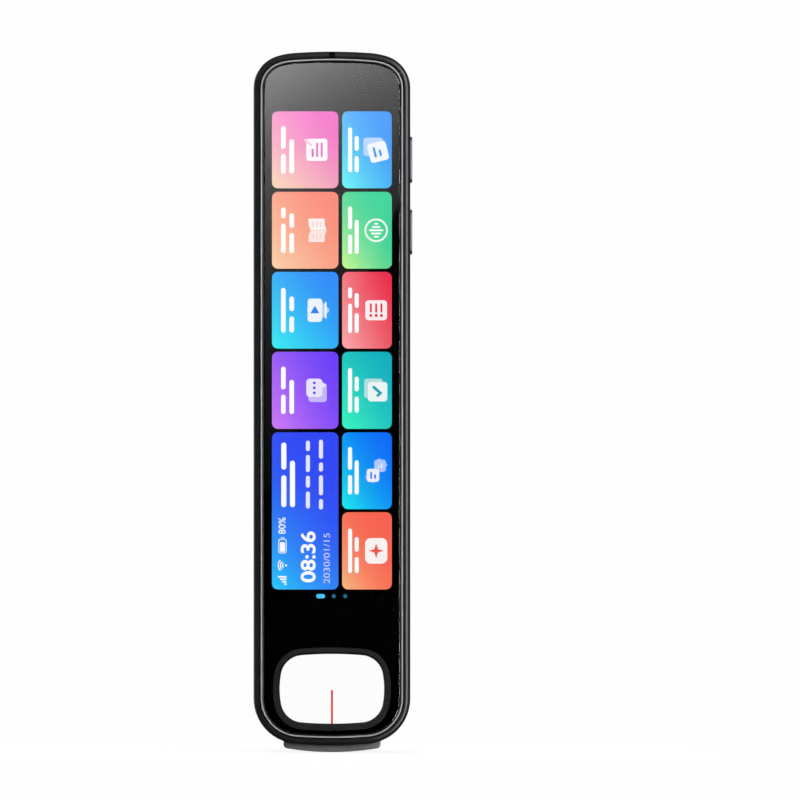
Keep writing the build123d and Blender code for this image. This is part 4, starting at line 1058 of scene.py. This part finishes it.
class Growth(Wiring):
    # a geometry tree with named inputs, which ends in plain faces with the finish on them

    def __init__(self, name, *labels):
        super().__init__(bpy.data.node_groups.new(name, "GeometryNodeTree"))
        sockets = self.tree.interface
        sockets.new_socket("Geometry", in_out="INPUT", socket_type="NodeSocketGeometry")
        for label in labels:
            kind = "NodeSocketInt" if label == "Count" else "NodeSocketFloat"
            sockets.new_socket(label, in_out="INPUT", socket_type=kind)
        sockets.new_socket("Finish", in_out="INPUT", socket_type="NodeSocketMaterial")
        sockets.new_socket("Geometry", in_out="OUTPUT", socket_type="NodeSocketGeometry")
        self.given = self.tree.nodes.new("NodeGroupInput").outputs

    def grow(self, kind, sockets=None):
        return self.get(kind, sockets, family="GeometryNode")

    def join(self, *shapes):
        joined = self.grow("JoinGeometry")
        for shape in shapes:
            self.tree.links.new(shape, joined.node.inputs[0])
        return joined

    def sweep(self, curve, profile):
        sockets = {"Curve": curve, "Profile Curve": profile, "Fill Caps": True}
        return self.grow("CurveToMesh", sockets)

    def circle(self, resolution, radius):
        return self.grow("CurvePrimitiveCircle", {"Resolution": resolution, "Radius": radius})

    def finish(self, shape):
        real = self.grow("RealizeInstances", {0: shape})
        done = self.grow("SetMaterial", {"Geometry": real, "Material": self.given["Finish"]})
        self.tree.links.new(done, self.tree.nodes.new("NodeGroupOutput").inputs[0])
        return self.tree


def grown(name, tree, sizes, finish, seed=None):
    # runs the tree on a seed mesh and gives back a plain mesh object
    if seed is None:
        seed = bpy.data.meshes.new("seed")
        seed.from_pydata([(0, 0, 0)], [], [])
    values = {"Finish": finish}
    for label, size in sizes.items():
        values[label] = size if label in ("Count", "Turns") else size * mm
    host = link(bpy.data.objects.new(name + "_seed", seed))
    growth = host.modifiers.new("growth", "NODES")
    growth.node_group = tree
    for item in tree.interface.items_tree:
        if item.in_out == "INPUT" and item.name in values:
            growth[item.identifier] = values[item.name]
    mesh = plainMesh(host)
    mesh.name = name
    host.modifiers.clear()
    bpy.data.objects.remove(host)
    return link(bpy.data.objects.new(name, mesh))


# bars that stand for words: two lines to a tile, as x and thickness, and spans from the tile's middle
wordLines = {
    "left": ((-10.22, 0.98), (-8.46, 0.98)),
    "right": ((3.82, 0.86), (5.22, 0.86)),
}
wordSpans = [
    (((-5.0, -0.9), (0.2, 5.0)), ((-5.0, 2.2),)),
    (((-4.7, 4.7),), ((-4.7, -1.3), (-0.2, 2.9))),
    (((-4.8, 1.4), (2.5, 4.8)), ((-4.8, -0.6), (0.5, 3.6))),
]
# the large tile's lines: x, thickness, how far their white leans to the tint, spans along z
clockWords = [
    (-10.12, 1.08, 0.0, ((-22.9, -16.2), (-15.0, -9.3))),
    (-8.30, 1.08, 0.0, ((-22.9, -13.1),)),
    (-5.05, 0.86, 0.22, ((-23.2, -19.6), (-18.8, -16.3), (-15.5, -11.9), (-11.1, -8.9))),
    (-2.30, 0.86, 0.22, ((-23.4, -21.2), (-20.4, -16.2), (-15.4, -13.5), (-12.7, -8.7))),
]


def wordBarTree():
    # each edge of the seed becomes a flat bar with round ends
    w = Growth("wordBars", "Thickness", "Depth")
    line = w.grow("MeshToCurve", {"Mesh": w.given["Geometry"]})
    ends = w.grow("MeshToPoints", {"Mesh": w.given["Geometry"]})
    half = w.times(w.given["Thickness"], 0.5)
    size = {"Vertices": 20, "Radius": half, "Depth": w.given["Depth"]}
    cap = w.grow("MeshCylinder", size)
    lying = w.grow("Transform", {"Geometry": cap, "Rotation": (math.radians(90), 0, 0)})
    caps = w.grow("InstanceOnPoints", {"Points": ends, "Instance": lying})
    sizes = {"Width": w.given["Thickness"], "Height": w.given["Depth"]}
    bar = w.sweep(line, w.grow("CurvePrimitiveQuadrilateral", sizes))
    return w.finish(w.join(bar, caps))


def makeWords():
    tree = wordBarTree()
    rows = {}
    for number, (name, (side, (low, high), *_)) in enumerate(tiles.items()):
        if name not in drawings:
            continue
        middle = (low + high) / 2
        for (across, thickness), line in zip(wordLines[side], wordSpans[number % len(wordSpans)]):
            rows.setdefault((thickness, 0.0), []).extend((across, middle + a, middle + b) for a, b in line)
    for across, thickness, share, spans in clockWords:
        rows.setdefault((thickness, share), []).extend((across, a, b) for a, b in spans)
    level = layerAt(2) * mm
    for number, ((thickness, share), bars) in enumerate(sorted(rows.items())):
        verts = []
        for across, start, end in bars:
            verts.append((across * mm, level, (start + thickness / 2) * mm))
            verts.append((across * mm, level, (end - thickness / 2) * mm))
        seed = bpy.data.meshes.new("wordSeed")
        seed.from_pydata(verts, [(n, n + 1) for n in range(0, len(verts), 2)], [])
        sizes = {"Thickness": thickness, "Depth": screen["layer"]}
        piece = grown("words_%d" % number, tree, sizes, screenLight, seed)
        shade = piece.data.color_attributes.new("shade", "FLOAT_COLOR", "CORNER")
        colour = white.lerp(lit(wordTint), share)
        for spot in shade.data:
            spot.color = colour
        onCasing(piece, "display")


def mergedCopy(name):
    shape = bmesh.new()
    shape.from_mesh(nodes[name].data)
    bmesh.ops.remove_doubles(shape, verts=shape.verts, dist=1e-6)
    return shape


# the black border printed on the back of the glass, open over the panel: left, right, low, high
inkLook = {"panel": (-13.0, 13.0, -43.0, 61.2), "gap": 0.004, "thickness": 0.012}


def makeInkMask():
    shape = mergedCopy("cover_glass")
    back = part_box("cover_glass")[1].y
    stray = [f for f in shape.faces if abs(f.calc_center_median().y - back) > 1e-5 or abs(f.normal.y) < 0.9]
    bmesh.ops.delete(shape, geom=stray, context="FACES")
    left, right, low, high = (value * mm for value in inkLook["panel"])
    for across in (left, right):
        cutAcross(shape, (across, 0, 0), (1, 0, 0))
    for height in (low, high):
        cutAcross(shape, (0, 0, height), (0, 0, 1))
    inside = []
    for face in shape.faces:
        centre = face.calc_center_median()
        if left < centre.x < right and low < centre.z < high:
            inside.append(face)
    bmesh.ops.delete(shape, geom=inside, context="FACES")
    bmesh.ops.dissolve_limit(shape, angle_limit=0.001, verts=shape.verts, edges=shape.edges)
    for vert in shape.verts:
        vert.co.y = back + inkLook["gap"] * mm
    thicken(shape, inkLook["thickness"])
    onCasing(objectOf("glass_ink", shape, finishes["black_adhesive"]), "black_adhesive")


def outerLoop(name, depth):
    # the outline of a part where it is cut at a depth, in order
    shape = mergedCopy(name)
    cut = cutAcross(shape, (0, depth * mm, 0), (0, 1, 0), 1e-8)
    near = {}
    for edge in cut["geom_cut"]:
        if isinstance(edge, bmesh.types.BMEdge):
            for vert in edge.verts:
                near.setdefault(vert, []).append(edge.other_vert(vert))
    loop = [max(near, key=lambda vert: vert.co.z)]
    while ahead := [vert for vert in near[loop[-1]] if vert not in loop]:
        loop.append(ahead[0])
    points = [(vert.co.x / mm, vert.co.z / mm) for vert in loop]
    shape.free()
    return points if areaOf(points) > 0 else points[::-1]


def offsetLoop(points, grow):
    # moves an outline outwards by the same width all round
    out = []
    for n, point in enumerate(points):
        before = Vector(points[n - 1])
        here = Vector(point)
        after = Vector(points[(n + 1) % len(points)])
        along = ((here - before).normalized() + (after - here).normalized()).normalized()
        out.append((here.x + along.y * grow, here.y - along.x * grow))
    return out


# bands round the glass: the part they follow, their finish, and a section as growth and depth. The bright
# line stands clear of the bezel by a narrow groove; one black bead lies inside it, and a black strip down in
# the groove is painted shade that keeps the groove's floor dark
bands = {
    "display_trim_bead": ("display_trim", "trim_metal", [
        (-0.22, -5.45), (-0.22, -6.24), (-0.27, -6.29), (-0.47, -6.29), (-0.51, -6.26), (-0.54, -6.16),
        (-0.55, -5.45),
    ]),
    "glass_seal": ("cover_glass", "ring_black", [
        (0.015, -5.62), (0.015, -6.12), (0.125, -6.07), (0.235, -6.12), (0.235, -5.62),
    ]),
    # painted shade: a black strip down in the groove between the bezel and the trim
    "groove_seal": ("display_trim", "black_adhesive", [
        (-0.21, -5.46), (-0.21, -5.95), (-0.01, -5.95), (-0.01, -5.46),
    ]),
}
bandCut = -5.8  # where the outlines are taken


def makeBand(name, follows, finish, section):
    outline = outerLoop(follows, bandCut)
    shape = bmesh.new()
    rings = []
    for grow, depth in section:
        rings.append([shape.verts.new((x * mm, depth * mm, z * mm)) for x, z in offsetLoop(outline, grow)])
    for ring, nextRing in zip(rings, rings[1:] + rings[:1]):
        for n in range(len(ring)):
            after = (n + 1) % len(ring)
            shape.faces.new((ring[n], ring[after], nextRing[after], nextRing[n]))
    bmesh.ops.recalc_face_normals(shape, faces=shape.faces)
    for face in shape.faces:
        face.smooth = True
    piece = onCasing(objectOf(name, shape, finishes[finish]), finish)
    if name == "display_trim_bead":
        piece.data.set_sharp_from_angle(angle=math.radians(20))
        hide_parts("display_trim")


for bandName, bandValues in bands.items():
    makeBand(bandName, *bandValues)
for tileName, tileValues in tiles.items():
    makeTile(tileName, tileValues)
for tileName in drawings:
    makeIcon(tileName, tiles[tileName])
makeSigns()
for figureName, figureValues in figureLook.items():
    makeFigures(figureName, *figureValues)
makeWords()
makeInkMask()
print("screen lit")

weaveLook = {"Width": 8.9, "Pitch": 0.24, "Wire Radius": 0.034, "Wave Height": 0.030}


def weaveTree():
    # waved wires side by side, every other one upside down, and the same again across them
    w = Growth("wovenWire", "Width", "Pitch", "Wire Radius", "Wave Height")
    width = w.given["Width"]
    pitch = w.given["Pitch"]
    half = w.times(width, 0.5)
    ends = {"Start": w.vector(w.times(half, -1.0)), "End": w.vector(half)}
    count = w.maths("ROUND", w.maths("DIVIDE", width, pitch))
    line = w.grow("CurvePrimitiveLine", ends)
    fine = w.grow("ResampleCurve", {"Curve": line, "Count": w.times(count, 2.0)})
    along = w.split(w.grow("InputPosition"))[0]
    phase = w.times(w.maths("DIVIDE", along, pitch), math.pi)
    lift = w.times(w.maths("COSINE", phase), w.given["Wave Height"])
    waved = w.grow("SetPosition", {"Geometry": fine, "Offset": w.vector(z=lift)})
    row = w.grow("MeshLine", {"Count": count, "Offset": w.vector(y=pitch)})
    back = w.times(w.times(w.minus(count, 1.0), pitch), -0.5)
    centred = w.grow("Transform", {"Geometry": row, "Translation": w.vector(y=back)})
    odd = w.maths("MODULO", w.grow("InputIndex"), 2.0)
    flip = w.vector(1.0, 1.0, w.minus(w.times(odd, 2.0), 1.0))
    warp = w.grow("InstanceOnPoints", {"Points": centred, "Instance": waved, "Scale": flip})
    across = {"Geometry": warp, "Rotation": (0, 0, math.radians(90)), "Scale": (1, 1, -1)}
    wires = w.grow("RealizeInstances", {0: w.join(warp, w.grow("Transform", across))})
    return w.finish(w.sweep(wires, w.circle(5, w.given["Wire Radius"])))


def placed(piece, matrix):
    piece.data.transform(matrix)
    piece.data.update()
    return piece


standing = Matrix.Rotation(math.radians(90), 4, "X")  # stands up what is grown flat


def makeWeave():
    piece = grown("speaker_weave", weaveTree(), weaveLook, finishes["mesh_steel"])
    low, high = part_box("speaker_mesh")
    placed(piece, Matrix.Translation((low + high) / 2) @ standing)
    onCasing(piece, "mesh_steel")
    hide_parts("speaker_mesh")


# a black gauze on a near-black gasket in each microphone opening, turned about the upright axis; partly a
# real acoustic gauze, partly painted shade that makes the openings read dark
gauzeLook = {"Pitch": 0.116, "Wire Radius": 0.021, "Wave Height": 0.018}
gauzes = {
    "top_mic": {"centre": (0.0, -5.70, 72.33), "turn": 0, "width": 1.16, "plate": (1.24, 1.22, 0.12)},
    "side_mic": {"centre": (15.50, -1.13, 42.60), "turn": 90, "width": 0.56, "plate": (0.80, 0.80, 0.39)},
}
gasketDepth = (0.055, 0.095)  # how far its two faces lie behind the gauze


def makeGauzes():
    black = brushedMetal(
        "gauzeBlack", dark=(0.004, 0.004, 0.005), light=(0.012, 0.012, 0.013), worn=(0.02, 0.02, 0.02),
        roughness=(0.4, 0.5),
    )
    tree = weaveTree()
    for name, gauze in gauzes.items():
        turn = Matrix.Rotation(math.radians(gauze["turn"]), 4, "Z")
        place = Matrix.Translation(Vector(gauze["centre"]) * mm) @ turn
        weave = grown(name + "_gauze", tree, dict(gauzeLook, Width=gauze["width"]), black)
        onCasing(placed(weave, place @ standing), "black_adhesive")
        # painted shade: a near-black plate behind the gauze
        front, back = gasketDepth
        shape = bmesh.new()
        shape.faces.new([shape.verts.new((x * mm, front * mm, z * mm)) for x, z in card(*gauze["plate"])])
        thicken(shape, back - front)
        gasket = objectOf(name + "_gasket", shape, finishes["black_adhesive"])
        onCasing(placed(gasket, place), "black_adhesive")


# the inset is measured from the end of the tongue
contactLook = {"Count": 12, "Pitch": 0.5, "Width": 0.26, "Length": 3.2, "Height": 0.06, "Inset": 0.5}


def contactTree():
    w = Growth("contactRow", "Count", "Pitch", "Width", "Length", "Height")
    row = w.grow("MeshLine", {"Count": w.given["Count"], "Offset": w.vector(w.given["Pitch"])})
    size = w.vector(w.given["Width"], w.given["Height"], w.given["Length"])
    pad = w.grow("MeshCube", {"Size": size, "Vertices X": 3, "Vertices Y": 2, "Vertices Z": 5})
    return w.finish(w.grow("InstanceOnPoints", {"Points": row, "Instance": pad}))


def makeContacts():
    gold = brushedMetal(
        "contactGold", dark=(0.62, 0.42, 0.14), light=(0.80, 0.58, 0.24), worn=(0.5, 0.34, 0.14),
        roughness=(0.2, 0.32),
    )
    tree = contactTree()
    low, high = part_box("usb_tongue")
    across = (contactLook["Count"] - 1) * contactLook["Pitch"] * mm / 2
    height = high.z - (contactLook["Length"] / 2 + contactLook["Inset"]) * mm
    for name, depth in (("port_contacts_front", low.y), ("port_contacts_rear", high.y)):
        piece = grown(name, tree, contactLook, gold)
        onCasing(placed(piece, Matrix.Translation((-across, depth, height))), "tin_steel")


# the travel is how far the tip presses it
springLook = {"Turns": 5.0, "Radius": 0.95, "Wire Radius": 0.15, "Height": 2.7, "Travel": 0.8}


def springTree():
    w = Growth("coilSpring", "Turns", "Radius", "Wire Radius", "Height")
    radius = w.given["Radius"]
    coil = w.grow("CurveSpiral", {
        "Resolution": 28, "Rotations": w.given["Turns"], "Start Radius": radius, "End Radius": radius,
        "Height": w.given["Height"],
    })
    drawn = w.sweep(coil, w.circle(12, w.given["Wire Radius"]))
    return w.finish(w.grow("SetShadeSmooth", {"Geometry": drawn}))


def makeSpring():
    piece = grown("press_spring", springTree(), springLook, finishes["spring_steel"])
    low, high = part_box("tip_spring")
    centre = (low + high) / 2
    placed(piece, Matrix.Translation((centre.x, centre.y, low.z + springLook["Wire Radius"] * mm)))
    onCasing(piece, "spring_steel")
    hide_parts("tip_spring")
    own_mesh(piece)


makeWeave()
makeGauzes()
makeContacts()
makeSpring()
print("speaker mesh, contacts and spring made")
